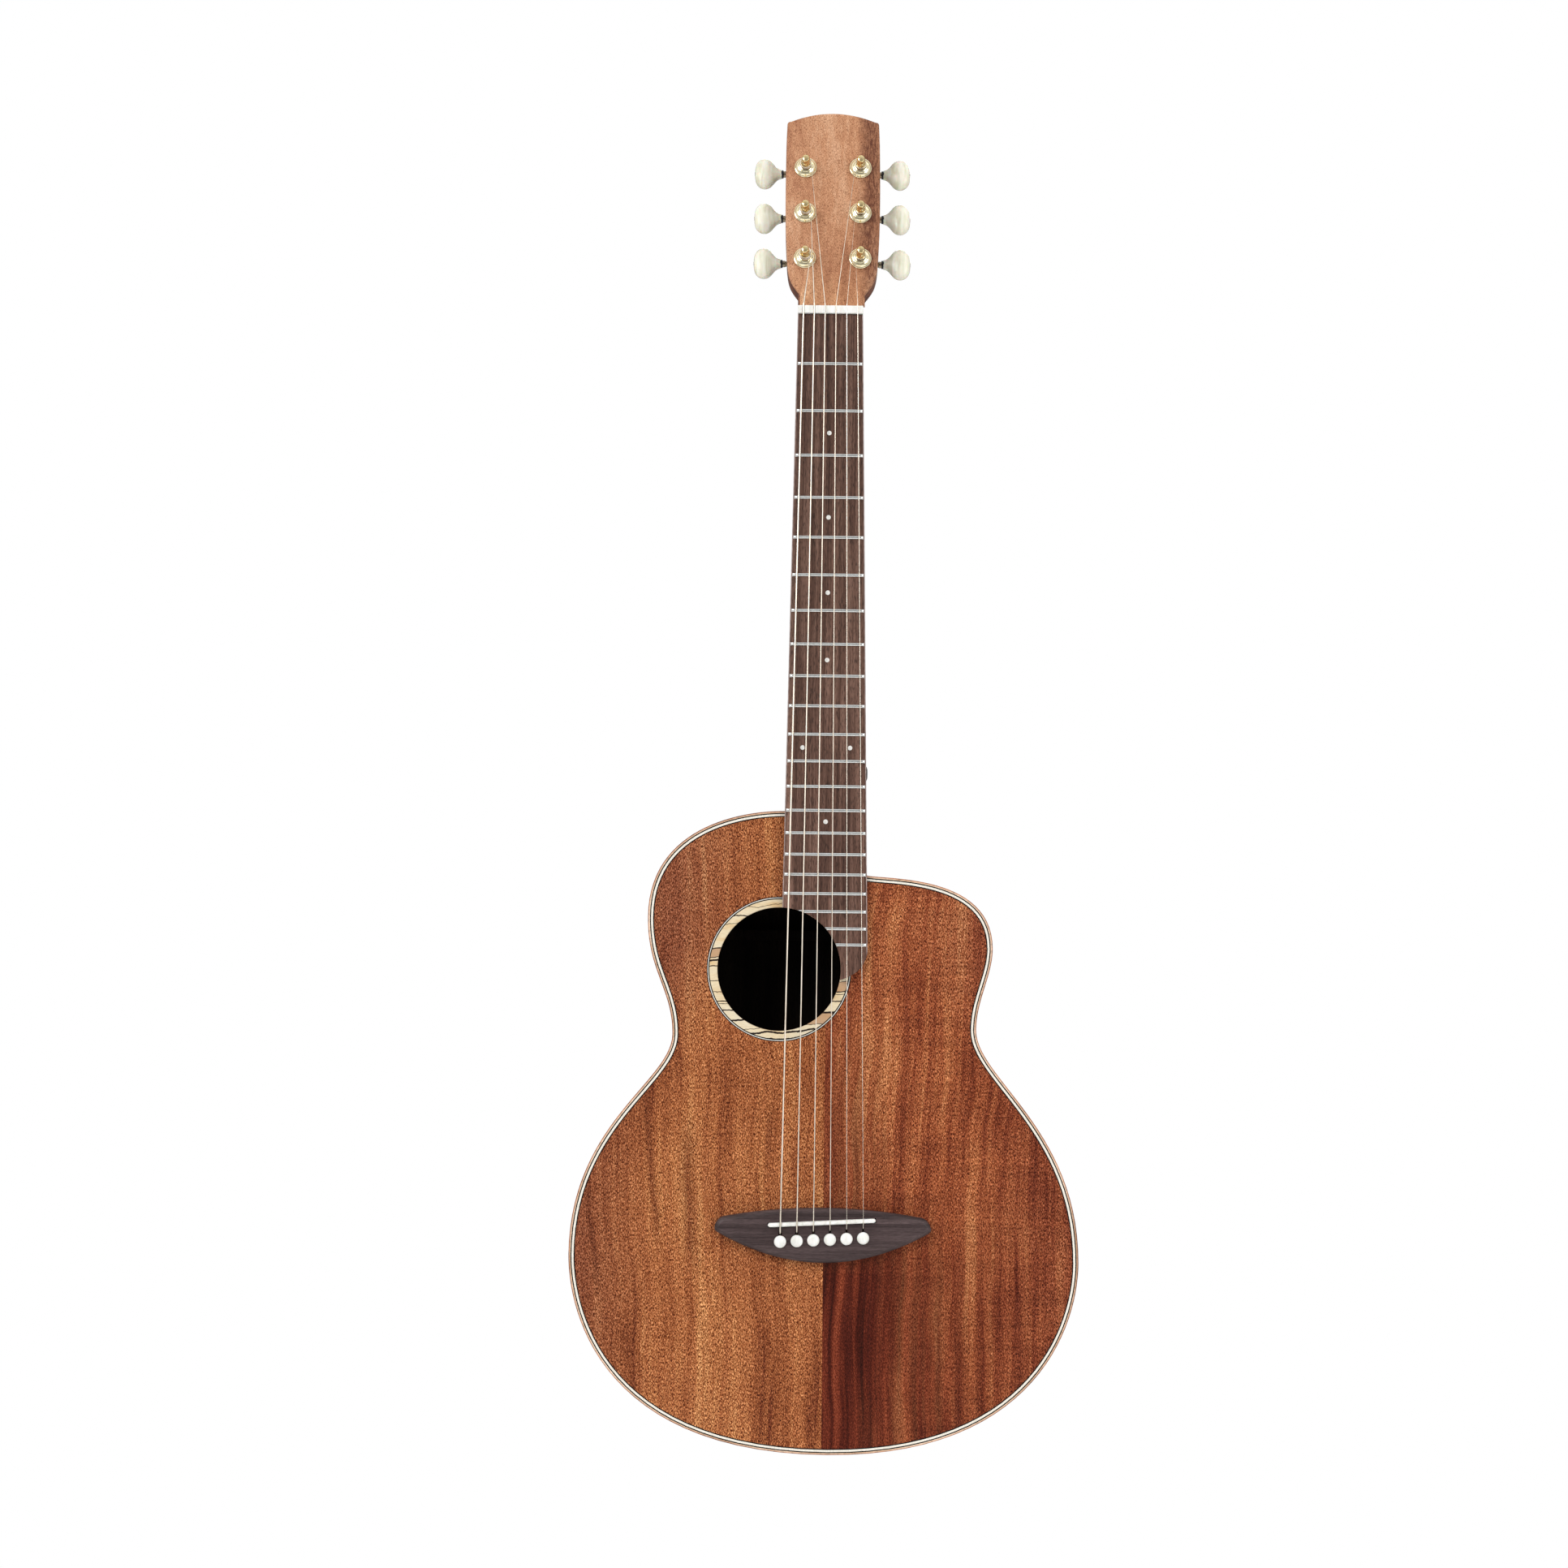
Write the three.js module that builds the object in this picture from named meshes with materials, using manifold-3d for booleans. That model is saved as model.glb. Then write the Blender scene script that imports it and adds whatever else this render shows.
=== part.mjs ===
// A steel-string travel guitar, in millimetres.
// The neck runs up +Z, the treble side is +X and the front faces -Y.
// The soundboard's face is at y = 0, and the origin is on the neck's centreline at the nut line.
import * as THREE from "three";
import { mergeVertices } from "three/addons/utils/BufferGeometryUtils.js";
import Module from "manifold-3d";

const wasm = await Module();
wasm.setup();

// Clearances
const glue = 0.3; // between pieces that are glued or pressed together
const running = 0.3; // between pieces that turn in each other
const overrun = 1; // how far a cutting tool passes the piece it cuts

// Strings and scale
const scaleLength = 610;
const fretCount = 21;
const jointFret = 14; // the neck joins the body here
const stringSpreadAtNut = 36.9;
const stringSpreadAtPins = 55.4;
const stringHeightAtNut = 7.9; // from the soundboard's plane to the underside of the strings
const stringHeightAtSaddle = 11.8;
const stringClearance = 0.3; // between a string and the nut, saddle or post that holds it
const saddleSetback = 4.2; // the middle of the saddle lies this far behind the scale length
const bridgeSlant = 2.95; // degrees, of the saddle and the pins

// Fretboard
const nutWidth = 44.4;
const widthAtTwelfth = 54;
const fretboardThickness = 6;
const fretboardCrown = 400; // radius across the board
const fretHeight = 1;
const fretWidth = 2.2;
const fretEndInset = 0.5;
const extensionShoulderRise = 14.5; // from the soundhole's middle to where the treble edge starts to curve
const extensionCurveDrop = 1.6;
const extensionTipDrop = 7;

// Nut
const nutThickness = 5.5;
const nutHeight = 8.2;
const nutSlotDepth = 0.9;

// Neck and heel
const neckDepthAtNut = 14;
const neckDepthAtHeel = 16.5;
const heelLengthAtTop = 64;
const heelLengthAtCap = 21;
const heelHalfWidthAtTop = 26;
const heelHalfWidthAtCap = 14.5;
const heelCapThickness = 2.4;

// Headstock
const headstockAngle = 13.5; // degrees, leaning back
const headstockShift = 1.2; // its middle lies this far to the treble side
const headstockDrop = 2; // the headplate's face at the nut, in front of the soundboard's plane
const headstockLength = 141;
const headstockCrownRise = 6.5;
const headstockWidth = 65.2;
const headstockThickness = 13;
const headplateThickness = 1.8;
const headplateStart = 0.6;
const throatLength = 9; // the flare starts here
const flareLength = 22; // and ends here
const flareWidth = 59.2;
const topCornerRadius = 2.5;

// Truss rod
const trussRodRadius = 2.25;
const trussRodDepth = 7; // its axis, behind the soundboard's plane
const trussRodStart = 14;
const trussRodTail = 9; // how far it passes the neck block
const trussNutRadius = 3.7;
const trussNutLength = 12;
const trussSocketRadius = 2.3;
const trussSocketDepth = 4;

// Strap button on the treble side of the heel
const strapButtonRise = 27.3; // above the neck joint
const strapButtonDepth = 35;
const strapButtonSeat = 17.6; // from the neck's middle plane
const strapButtonRadius = 6.2;
const strapButtonWaist = 3.6;
const strapButtonLength = 11.4;
const strapScrewRadius = 1.8;
const strapScrewLength = 17;

// Body outline. Reach is the distance from the neck's middle plane, drop the distance below the neck joint.
const upperBoutBassReach = 119.2;
const upperBoutBassDrop = 72.5;
const waistBassReach = 101.7;
const waistBassDrop = 151.6;
const lowerBoutBassReach = 169.6;
const lowerBoutBassDrop = 299.3;
const tailShift = 4.8;
const bodyLength = 431;
const lowerBoutTrebleReach = 172.6;
const lowerBoutTrebleDrop = 302.3;
const waistTrebleReach = 102.9;
const waistTrebleDrop = 146.8;
const upperBoutTrebleReach = 113.7;
const upperBoutTrebleDrop = 92.2;
const cutawayDrop = 43.3;
const cutawayInset = 0.2; // the cutaway's wall, inside the fretboard's edge
const cutawayLean = 13.5; // degrees, of the treble shoulder where it meets the fretboard
const bodyDepthAtNeck = 78;
const bodyDepthAtTail = 92;

// Body construction
const sideThickness = 2.2;
const plateThickness = 2.8;
const bindingWidth = 2;
const bindingHeight = 6;
const purflingWidth = 3;
const purflingDepth = 1.4;
const liningWidth = 6;
const liningHeight = 14;
const liningEndInset = 10; // the linings stop this far from the neck block
const neckBlockLength = 41;
const tailBlockWidth = 60;
const tailBlockThickness = 16;
const braceWidth = 7;
const braceHeight = 12;
const crossBraceShift = 5;
const crossBraceAngle = 45; // degrees from the centreline
const upperBraceDrop = 51.7;
const upperBraceNotchDepth = 9;
const upperBraceNotchHalfWidth = 5.5;
const backBraceUpperDrop = 84;
const backBraceMiddleDrop = 190;
const backBraceLowerDrop = 315;

// Soundhole and rosette
const soundholeRadius = 41.6;
const soundholeShift = 30.3; // to the bass side
const soundholeDrop = 107.1; // below the neck joint
const rosetteWidth = 7.2;
const rosetteDepth = 1.2;

// Bridge, saddle and pins
const bridgeHalfWidth = 72.6;
const bridgeUpperHalfWidth = 68.3;
const bridgeShift = 0.7;
const bridgeThickness = 8.3;
const bridgeAboveSaddle = 2.9; // the upper corners, above the middle of the saddle
const bridgeUpperBulge = 6.5;
const bridgeEndDrop = 8.7;
const bridgeEndBulge = 1.3; // how far each end bows out between its corners
const bridgeLowerBulge = 21;
const bridgeBevelWidth = 2.6;
const bridgeBevelHeight = 2.2;
const saddleLength = 72;
const saddleThickness = 2.8;
const saddleSlotDepth = 4.6;
const saddleToPins = 11.3;
const pinRadius = 2.4;
const pinHeadRadius = 4.1;
const pinHeadHeight = 3;
const pinLength = 22;
const pinSlotReach = 6.2; // from the pin's middle to the far end of the slot that its string comes up
const stringAnchorDepth = 4; // how far the string goes in behind the soundboard's face
const bridgePlateHalfWidth = 48;
const bridgePlateHeight = 34;
const bridgePlateThickness = 2.4;

// Tuning machines, measured from the headplate's face on the post's axis
const postSpread = 38;
const firstPostRise = 36.3; // from the foot of the headplate to the lowest posts
const postPitch = 34.5;
const postRadius = 2.8;
const postTipHeight = 14.5;
const postWaistRadius = 2.1;
const postHeadLength = 4.2;
const stringHoleRadius = 0.9;
const bushingRadius = 7.7;
const bushingHeight = 3.4;
const bushingLip = 0.7;
const barrelRadius = 4.6;
const tunerPlateThickness = 1.5;
const tunerPlateHalfWidth = 9;
const tunerPlateFoot = 10;
const tunerPlateHead = 11;
const tunerScrewRadius = 2.2;
const tunerScrewHeight = 1.1;
const tunerScrewInset = 3;
const wormDepth = 22; // the worm's axis, behind the headplate's face
const wormRise = 6.5; // and above the post's axis
const wormPitch = 2.1;
const wormRootRadius = 1.5;
const wormThreadHeight = 0.55;
const wormThreadWidth = 0.9;
const wormTurns = 3;
const wheelTeeth = 14;
const wheelTipRadius = 4.75;
const wheelRootRadius = 3.9;
const wheelThickness = 4;
const wheelScrewHeight = 1.2;
const lugThickness = 1.6;
const lugHalfWidth = 3;
const lugReach = 2.8; // past the worm's axis
const lugGap = 0.4; // between the worm and each lug
const shaftRadius = 1.5;
const sleeveRadius = 2.3;
const collarRadius = 2.9;
const collarLength = 1.4;
const buttonStart = 16.6; // from the post's axis to the button's inner end
const buttonLength = 18.6;
const buttonHalfWidth = 11.4;
const buttonHalfThickness = 5.1;

// String gauges, from the bass side to the treble side
const lowEGauge = 1.35;
const aGauge = 1.07;
const dGauge = 0.85;
const gGauge = 0.66;
const bGauge = 0.5;
const highEGauge = 0.42;
const windingTurns = 2;
const windingGap = 0.6; // between the turns of string on a post
const windingHeight = 4.6; // from the headplate's face to the lowest turn
const slotPlay = 0.8; // added to a string's gauge for the slots that it lies in

// Counts of facets
const outlineSteps = 7;
const holeSides = 36;
const roundSides = 10;
const tunerSides = 8;
const coarseSides = 6;
const stringSides = 5;
const windingSteps = 10; // in each turn
const threadSteps = 6;
const crownSteps = 4;
const profileSteps = 12;
const welding = 1e-4; // vertices nearer than this are one

// Shares of the sizes that they follow
const bassShoulderShares = [0.273, 0.508];
const bassUpperShares = [0.458, 0.37];
const bassLowerShares = [0.193, 0.541];
const bassTailShares = [0.13, 0.732];
const trebleTailShares = [0.67, 0.185];
const trebleLowerShares = [0.528, 0.188];
const trebleUpperShares = [0.365, 0.32];
const trebleShoulderShares = [0.521, 0.122];
const headstockSideShares = [
  [0.32, 0.975],
  [0.56, 1],
  [0.85, 0.995],
];
const headstockTopShare = 0.978; // its width at the top corners
// Down the heel from its top: height, then length and half width between those at the top and at the cap
const heelShares = [
  [0, 1, 1],
  [0.12, 0.72, 0.93],
  [0.24, 0.45, 0.76],
  [0.42, 0.22, 0.48],
  [0.68, 0.07, 0.2],
  [1, 0, 0],
];
// Along the button: place, half width, half thickness
const buttonShares = [
  [0, 0.29, 0.55],
  [0.17, 0.42, 0.62],
  [0.34, 0.75, 0.8],
  [0.48, 0.95, 0.93],
  [0.62, 1, 1],
  [0.8, 0.89, 0.95],
  [0.94, 0.66, 0.76],
  [1, 0.34, 0.42],
];
// From the strap button's seat to its tip: where its flange ends, its waist begins and ends, its rim is widest
const strapButtonShares = [0.12, 0.34, 0.5, 0.75];
// Along the bushing from its rim: radius between the rim and the bore, height
const bushingShares = [
  [0.28, 0.42],
  [0.42, 0.78],
  [0.7, 1],
];
const roundSquareness = 2.1;
const boxSquareness = 9;

// Finishes as colour, roughness and metalness
const koa = ["#9a5a35", 0.4, 0];
const spruce = ["#c9ab7a", 0.7, 0];
const mahogany = ["#8a5236", 0.5, 0];
const rosewood = ["#4c3129", 0.6, 0];
const reddish = ["#a2623c", 0.4, 0];
const ivory = ["#efece2", 0.4, 0];
const maple = ["#dcc08a", 0.4, 0];
const pearl = ["#e9e6d6", 0.25, 0];
const gold = ["#d9b45a", 0.25, 1];
const steel = ["#b9b9bb", 0.3, 1];
const blackMetal = ["#26221f", 0.45, 0.6];

// Places worked out from the sizes
const radians = THREE.MathUtils.degToRad;
const fretPlace = (fret) => -scaleLength * (1 - 2 ** (-fret / 12));
const jointPlace = fretPlace(jointFret);
const bodyTop = jointPlace - glue;
const widthGrowth = (widthAtTwelfth - nutWidth) / -fretPlace(12);
const halfWidthAt = (z) => (nutWidth - widthGrowth * z) / 2;
const saddlePlace = -scaleLength - saddleSetback;
const pinPlace = saddlePlace - saddleToPins;
const soundholePlace = jointPlace - soundholeDrop;
const fretboardEnd = soundholePlace - extensionTipDrop;
// The two bars of the X cross halfway between the soundhole and the bridge plate.
const bridgePlateTop = pinPlace + bridgePlateHeight / 2;
const crossPlace = (soundholePlace - soundholeRadius + bridgePlateTop) / 2;
const trussRodEnd = bodyTop - neckBlockLength - trussRodTail;
const headplateBack = headplateThickness + glue;
const headstockBack = headplateBack + headstockThickness;
const tunerPlateFront = headstockBack + glue;
const tunerPlateBack = tunerPlateFront + tunerPlateThickness;
const boreRadius = postRadius + running;
const wheelFront = wormDepth - wheelThickness / 2;
const wormLength = wormTurns * wormPitch;

// The outer face of the back, which slopes between its depths at the neck and at the tail.
function backAt(z) {
  const share = (jointPlace - z) / bodyLength;
  return bodyDepthAtNeck + share * (bodyDepthAtTail - bodyDepthAtNeck);
}

// Solids and geometries

function solidOf(geometry) {
  if (!geometry.isBufferGeometry) return geometry;
  const bare = new THREE.BufferGeometry();
  const source = geometry.index ? geometry.toNonIndexed() : geometry;
  bare.setAttribute("position", source.getAttribute("position").clone());
  const merged = mergeVertices(bare, welding);
  const mesh = new wasm.Mesh({
    numProp: 3,
    vertProperties: merged.attributes.position.array,
    triVerts: new Uint32Array(merged.index.array),
  });
  return new wasm.Manifold(mesh);
}

function geometryOf(solid) {
  if (solid.isBufferGeometry) return solid;
  const mesh = solid.getMesh();
  const geometry = new THREE.BufferGeometry();
  geometry.setAttribute("position", new THREE.BufferAttribute(mesh.vertProperties, mesh.numProp));
  geometry.setIndex(new THREE.BufferAttribute(mesh.triVerts, 1));
  return geometry;
}

const join = (first, ...others) => others.reduce((a, b) => a.add(solidOf(b)), solidOf(first));
const cut = (first, ...others) => others.reduce((a, b) => a.subtract(solidOf(b)), solidOf(first));
const common = (a, b) => solidOf(a).intersect(solidOf(b));

// A closed body through rings of equally many points, with its faces turned outwards.
function loft(rings, closed = false) {
  const count = rings[0].length;
  const positions = rings.flat().flatMap((p) => [p.x, p.y, p.z]);
  const faces = [];
  const spans = closed ? rings.length : rings.length - 1;
  for (let r = 0; r < spans; r++) {
    const low = r * count;
    const high = ((r + 1) % rings.length) * count;
    for (let i = 0; i < count; i++) {
      const next = (i + 1) % count;
      faces.push(low + i, low + next, high + next, low + i, high + next, high + i);
    }
  }
  if (!closed) {
    const last = (rings.length - 1) * count;
    for (let i = 1; i < count - 1; i++) {
      faces.push(0, i + 1, i, last, last + i, last + i + 1);
    }
  }
  return outwards(positions, faces);
}

function outwards(positions, faces) {
  const corner = (i) => new THREE.Vector3().fromArray(positions, 3 * faces[i]);
  let volume = 0;
  for (let i = 0; i < faces.length; i += 3) {
    volume += corner(i).dot(corner(i + 1).cross(corner(i + 2)));
  }
  const geometry = new THREE.BufferGeometry();
  geometry.setAttribute("position", new THREE.Float32BufferAttribute(positions, 3));
  geometry.setIndex(volume < 0 ? faces.reverse() : faces);
  return geometry;
}

// A solid of revolution about the y axis from [radius, y] points, with its faces turned outwards.
function turned(rows, sides = roundSides) {
  const profile = rows.map(([r, y]) => new THREE.Vector2(r, y));
  const lathe = new THREE.LatheGeometry(profile, sides);
  return outwards([...lathe.attributes.position.array], [...lathe.index.array]);
}

const levelAt = (level, z) => (typeof level === "function" ? level(z) : level);

// An outline of [x, z] points made thick from its front to its back level, each a y or a function of z.
function slab(outline, front, back, holes = []) {
  const flat = (points) => points.map(([x, z]) => new THREE.Vector2(x, z));
  const shape = new THREE.Shape(flat(outline));
  shape.holes = holes.map((hole) => new THREE.Path(flat(hole)));
  const geometry = new THREE.ExtrudeGeometry(shape, { depth: 1, bevelEnabled: false });
  const place = geometry.attributes.position;
  for (let i = 0; i < place.count; i++) {
    const z = place.getY(i);
    const level = place.getZ(i) > 0 ? front : back;
    place.setXYZ(i, place.getX(i), levelAt(level, z), z);
  }
  return geometry;
}

function box(x0, x1, y0, y1, z0, z1) {
  const geometry = new THREE.BoxGeometry(x1 - x0, y1 - y0, z1 - z0);
  return geometry.translate((x0 + x1) / 2, (y0 + y1) / 2, (z0 + z1) / 2);
}

// A round bar between two points.
function bar(from, to, radius, sides = roundSides) {
  const run = new THREE.Vector3().subVectors(to, from);
  const geometry = new THREE.CylinderGeometry(radius, radius, run.length(), sides);
  const up = new THREE.Vector3(0, 1, 0);
  const turn = new THREE.Quaternion().setFromUnitVectors(up, run.clone().normalize());
  const middle = new THREE.Vector3().addVectors(from, to).divideScalar(2);
  return geometry.applyQuaternion(turn).translate(middle.x, middle.y, middle.z);
}

const point = (x, y, z) => new THREE.Vector3(x, y, z);

function circle(x, z, radius, sides) {
  return Array.from({ length: sides }, (_, i) => {
    const angle = (2 * Math.PI * i) / sides;
    return [x + radius * Math.cos(angle), z + radius * Math.sin(angle)];
  });
}

// Points of a [x, z] line moved to its left by a distance, with mitred corners.
function shifted(points, distance, closed = false) {
  const last = points.length - 1;
  const leftOf = (i, j) => {
    const run = Math.hypot(points[j][0] - points[i][0], points[j][1] - points[i][1]);
    return [(points[i][1] - points[j][1]) / run, (points[j][0] - points[i][0]) / run];
  };
  return points.map(([x, z], i) => {
    const before = i > 0 ? i - 1 : closed ? last : 0;
    const after = i < last ? i + 1 : closed ? 0 : last;
    const a = before === i ? leftOf(i, after) : leftOf(before, i);
    const b = after === i ? a : leftOf(i, after);
    const mitre = distance / (1 + a[0] * b[0] + a[1] * b[1]);
    return [x + mitre * (a[0] + b[0]), z + mitre * (a[1] + b[1])];
  });
}

// Half of a rounded section: across it, then away from its flat side.
function halfSection(halfWidth, depth, squareness) {
  return Array.from({ length: profileSteps + 1 }, (_, i) => {
    const angle = (Math.PI * i) / profileSteps;
    const across = Math.sign(Math.cos(angle)) * Math.abs(Math.cos(angle)) ** (2 / squareness);
    return [halfWidth * across, depth * Math.sin(angle) ** (2 / squareness)];
  });
}

// A tube with flat ends through a list of points.
function tube(points, radius, sides) {
  const last = points.length - 1;
  const heading = points.map((p, i) => {
    const back = point(0, 0, 0).subVectors(p, points[Math.max(i - 1, 0)]).normalize();
    const ahead = point(0, 0, 0).subVectors(points[Math.min(i + 1, last)], p).normalize();
    return back.add(ahead).normalize();
  });
  let side = point(1, 0, 0).cross(heading[0]);
  if (side.lengthSq() < welding) side = point(0, 1, 0).cross(heading[0]);
  const rings = points.map((p, i) => {
    side = side.clone().addScaledVector(heading[i], -side.dot(heading[i])).normalize();
    const other = heading[i].clone().cross(side);
    return Array.from({ length: sides }, (_, k) => {
      const angle = (2 * Math.PI * k) / sides;
      const spoke = side.clone().multiplyScalar(Math.cos(angle)).addScaledVector(other, Math.sin(angle));
      return p.clone().addScaledVector(spoke, radius);
    });
  });
  return loft(rings);
}

const guitar = new THREE.Group();

function add(name, shape, [color, roughness, metalness], parent = guitar) {
  const geometry = geometryOf(shape);
  geometry.computeVertexNormals();
  const material = new THREE.MeshStandardMaterial({ color, roughness, metalness });
  const mesh = new THREE.Mesh(geometry, material);
  mesh.name = name;
  parent.add(mesh);
}

// The rim: one line round the body, from the bass side of the neck joint to the treble side

function rimCurve(from, fromHeading, to, toHeading, [fromShare, toShare]) {
  const chord = from.distanceTo(to);
  const leaving = from.clone().addScaledVector(fromHeading, fromShare * chord);
  const arriving = to.clone().addScaledVector(toHeading, -toShare * chord);
  return new THREE.CubicBezierCurve(from, leaving, arriving, to).getPoints(outlineSteps);
}

function rimPoints() {
  const at = (x, drop) => new THREE.Vector2(x, jointPlace - drop);
  const left = new THREE.Vector2(-1, 0);
  const right = new THREE.Vector2(1, 0);
  const down = new THREE.Vector2(0, -1);
  const up = new THREE.Vector2(0, 1);
  const lean = radians(cutawayLean);
  const shoulder = new THREE.Vector2(-Math.cos(lean), Math.sin(lean));
  const cutawayX = halfWidthAt(jointPlace - cutawayDrop) - cutawayInset;
  const stations = [
    [at(cutawayInset - halfWidthAt(jointPlace), glue), left, bassShoulderShares],
    [at(-upperBoutBassReach, upperBoutBassDrop), down, bassUpperShares],
    [at(-waistBassReach, waistBassDrop), down, bassLowerShares],
    [at(-lowerBoutBassReach, lowerBoutBassDrop), down, bassTailShares],
    [at(tailShift, bodyLength), right, trebleTailShares],
    [at(lowerBoutTrebleReach, lowerBoutTrebleDrop), up, trebleLowerShares],
    [at(waistTrebleReach, waistTrebleDrop), up, trebleUpperShares],
    [at(upperBoutTrebleReach, upperBoutTrebleDrop), up, trebleShoulderShares],
    [at(cutawayX, cutawayDrop), shoulder, null],
  ];
  const points = [stations[0][0]];
  for (let i = 1; i < stations.length; i++) {
    const [from, fromHeading, shares] = stations[i - 1];
    const [to, toHeading] = stations[i];
    points.push(...rimCurve(from, fromHeading, to, toHeading, shares).slice(1));
  }
  points.push(at(halfWidthAt(jointPlace) - cutawayInset, glue));
  return points.map((p) => [p.x, p.y]);
}

const rim = rimPoints();
const rimTail = 4 * outlineSteps; // the rim point in the middle of the tail
const rimCorner = rim.length - 2; // the rim point in the corner of the cutaway

// The outline of a band that follows the rim between two distances from it.
function rimBand(outer, inner, from = 0, to = rim.length - 1) {
  const outside = shifted(rim, outer).slice(from, to + 1);
  const inside = shifted(rim, inner).slice(from, to + 1);
  return [...outside, ...inside.reverse()];
}

// The outline of a plate that fills the rim up to a distance from it.
function rimPlate(distance) {
  const corner = [cutawayInset - halfWidthAt(jointPlace) + glue, bodyTop];
  return [...shifted(rim, distance), corner];
}

const plateInset = bindingWidth + glue;
const innerFace = sideThickness + glue;
const liningInner = innerFace + liningWidth;
const soundboardBack = plateThickness + glue;
const backPlateFront = (z) => backAt(z) - plateThickness - glue;

// Bridge pin and saddle places

const bridgeTurn = radians(bridgeSlant);
const stringX = (spread, i) => spread * (i / 5 - 1 / 2);

function pinPoint(i) {
  const x = stringX(stringSpreadAtPins, i);
  return [x, pinPlace + x * Math.tan(bridgeTurn)];
}

function pinHoles(front, back) {
  const radius = pinRadius + running;
  const tools = [];
  strings.forEach(({ gauge }, i) => {
    const [x, z] = pinPoint(i);
    const half = (gauge + slotPlay) / 2;
    tools.push(bar(point(x, front, z), point(x, back, z), radius, coarseSides + 2));
    tools.push(box(x - half, x + half, front, back, z, z + pinSlotReach));
  });
  return tools;
}

const strings = [
  { name: "low_e", gauge: lowEGauge, side: -1, row: 0 },
  { name: "a", gauge: aGauge, side: -1, row: 1 },
  { name: "d", gauge: dGauge, side: -1, row: 2 },
  { name: "g", gauge: gGauge, side: 1, row: 2 },
  { name: "b", gauge: bGauge, side: 1, row: 1 },
  { name: "high_e", gauge: highEGauge, side: 1, row: 0 },
];

function addSoundboard() {
  const plate = slab(rimPlate(plateInset), 0, plateThickness);
  const channelInner = plateInset + purflingWidth + glue;
  const channel = slab(rimBand(0, channelInner), -overrun, purflingDepth + glue);
  const seat = circle(-soundholeShift, soundholePlace, soundholeRadius + rosetteWidth + glue, holeSides);
  const hole = circle(-soundholeShift, soundholePlace, soundholeRadius, holeSides);
  const seatTool = slab(seat, -overrun, rosetteDepth + glue);
  const holeTool = slab(hole, -overrun, plateThickness + overrun);
  const pins = pinHoles(-overrun, plateThickness + overrun);
  add("soundboard", cut(plate, channel, seatTool, holeTool, ...pins), koa);

  const ring = circle(-soundholeShift, soundholePlace, soundholeRadius + rosetteWidth, holeSides);
  add("rosette", slab(ring, 0, rosetteDepth, [hole]), maple);
}

function addRim() {
  const bindingBack = (z) => backAt(z) - bindingHeight;
  const sideFront = bindingHeight + glue;
  const sideBack = (z) => bindingBack(z) - glue;
  const purflingInner = plateInset + purflingWidth;
  add("top_binding", slab(rimBand(0, bindingWidth), 0, bindingHeight), reddish);
  add("top_purfling", slab(rimBand(plateInset, purflingInner), 0, purflingDepth), ivory);
  add("bass_side", slab(rimBand(0, sideThickness, 0, rimTail), sideFront, sideBack), koa);
  add("treble_side", slab(rimBand(0, sideThickness, rimTail), sideFront, sideBack), koa);
  add("back_binding", slab(rimBand(0, bindingWidth), bindingBack, backAt), reddish);
  add("back_plate", slab(rimPlate(plateInset), (z) => backAt(z) - plateThickness, backAt), koa);
}

const deeperThanBody = bodyDepthAtNeck + bodyDepthAtTail;

// The space behind the neck joint that the neck block fills, grown by a margin.
function neckRoom(margin) {
  const half = halfWidthAt(jointPlace) - cutawayInset - glue + margin;
  return box(-half, half, 0, deeperThanBody, bodyTop - neckBlockLength - margin, jointPlace);
}

function addLinings() {
  const shoulder = shifted(rim, innerFace);
  const limit = halfWidthAt(jointPlace) + liningEndInset;
  const end = shoulder.findLastIndex(([x], i) => i < rimCorner && x > limit);
  const outline = rimBand(innerFace, liningInner, 0, end);
  const top = slab(outline, soundboardBack, soundboardBack + liningHeight);
  const back = slab(outline, (z) => backPlateFront(z) - liningHeight, backPlateFront);
  add("top_lining", cut(top, neckRoom(glue)), spruce);
  add("back_lining", cut(back, neckRoom(glue)), spruce);
}

function addBlocks() {
  const neckEnd = bodyTop - neckBlockLength;
  const inside = slab(rimPlate(innerFace), soundboardBack, backPlateFront);
  const rodRadius = trussRodRadius + 2 * running;
  const rodHole = bar(
    point(0, trussRodDepth, jointPlace + overrun),
    point(0, trussRodDepth, neckEnd - overrun),
    rodRadius,
  );
  add("neck_block", cut(common(inside, neckRoom(0)), rodHole), mahogany);

  // The tail block is notched at its front and back edges, where the linings pass it.
  const liningsFront = soundboardBack + liningHeight + glue;
  const liningsBack = (z) => backPlateFront(z) - liningHeight - glue;
  const core = slab(rimPlate(liningInner + glue), soundboardBack, backPlateFront);
  const belly = slab(rimPlate(innerFace), liningsFront, liningsBack);
  const tail = jointPlace - bodyLength;
  const left = tailShift - tailBlockWidth / 2;
  const right = tailShift + tailBlockWidth / 2;
  const tailRoom = box(left, right, 0, deeperThanBody, tail, tail + tailBlockThickness);
  add("tail_block", common(join(core, belly), tailRoom), mahogany);
}

// A brace as a bar of the given width from one [x, z] place to another.
function brace([x0, z0], [x1, z1], front, back, width = braceWidth) {
  const run = Math.hypot(x1 - x0, z1 - z0);
  const across = [((z0 - z1) / run) * (width / 2), ((x1 - x0) / run) * (width / 2)];
  const outline = [
    [x0 - across[0], z0 - across[1]],
    [x1 - across[0], z1 - across[1]],
    [x1 + across[0], z1 + across[1]],
    [x0 + across[0], z0 + across[1]],
  ];
  return slab(outline, front, back);
}

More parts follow.
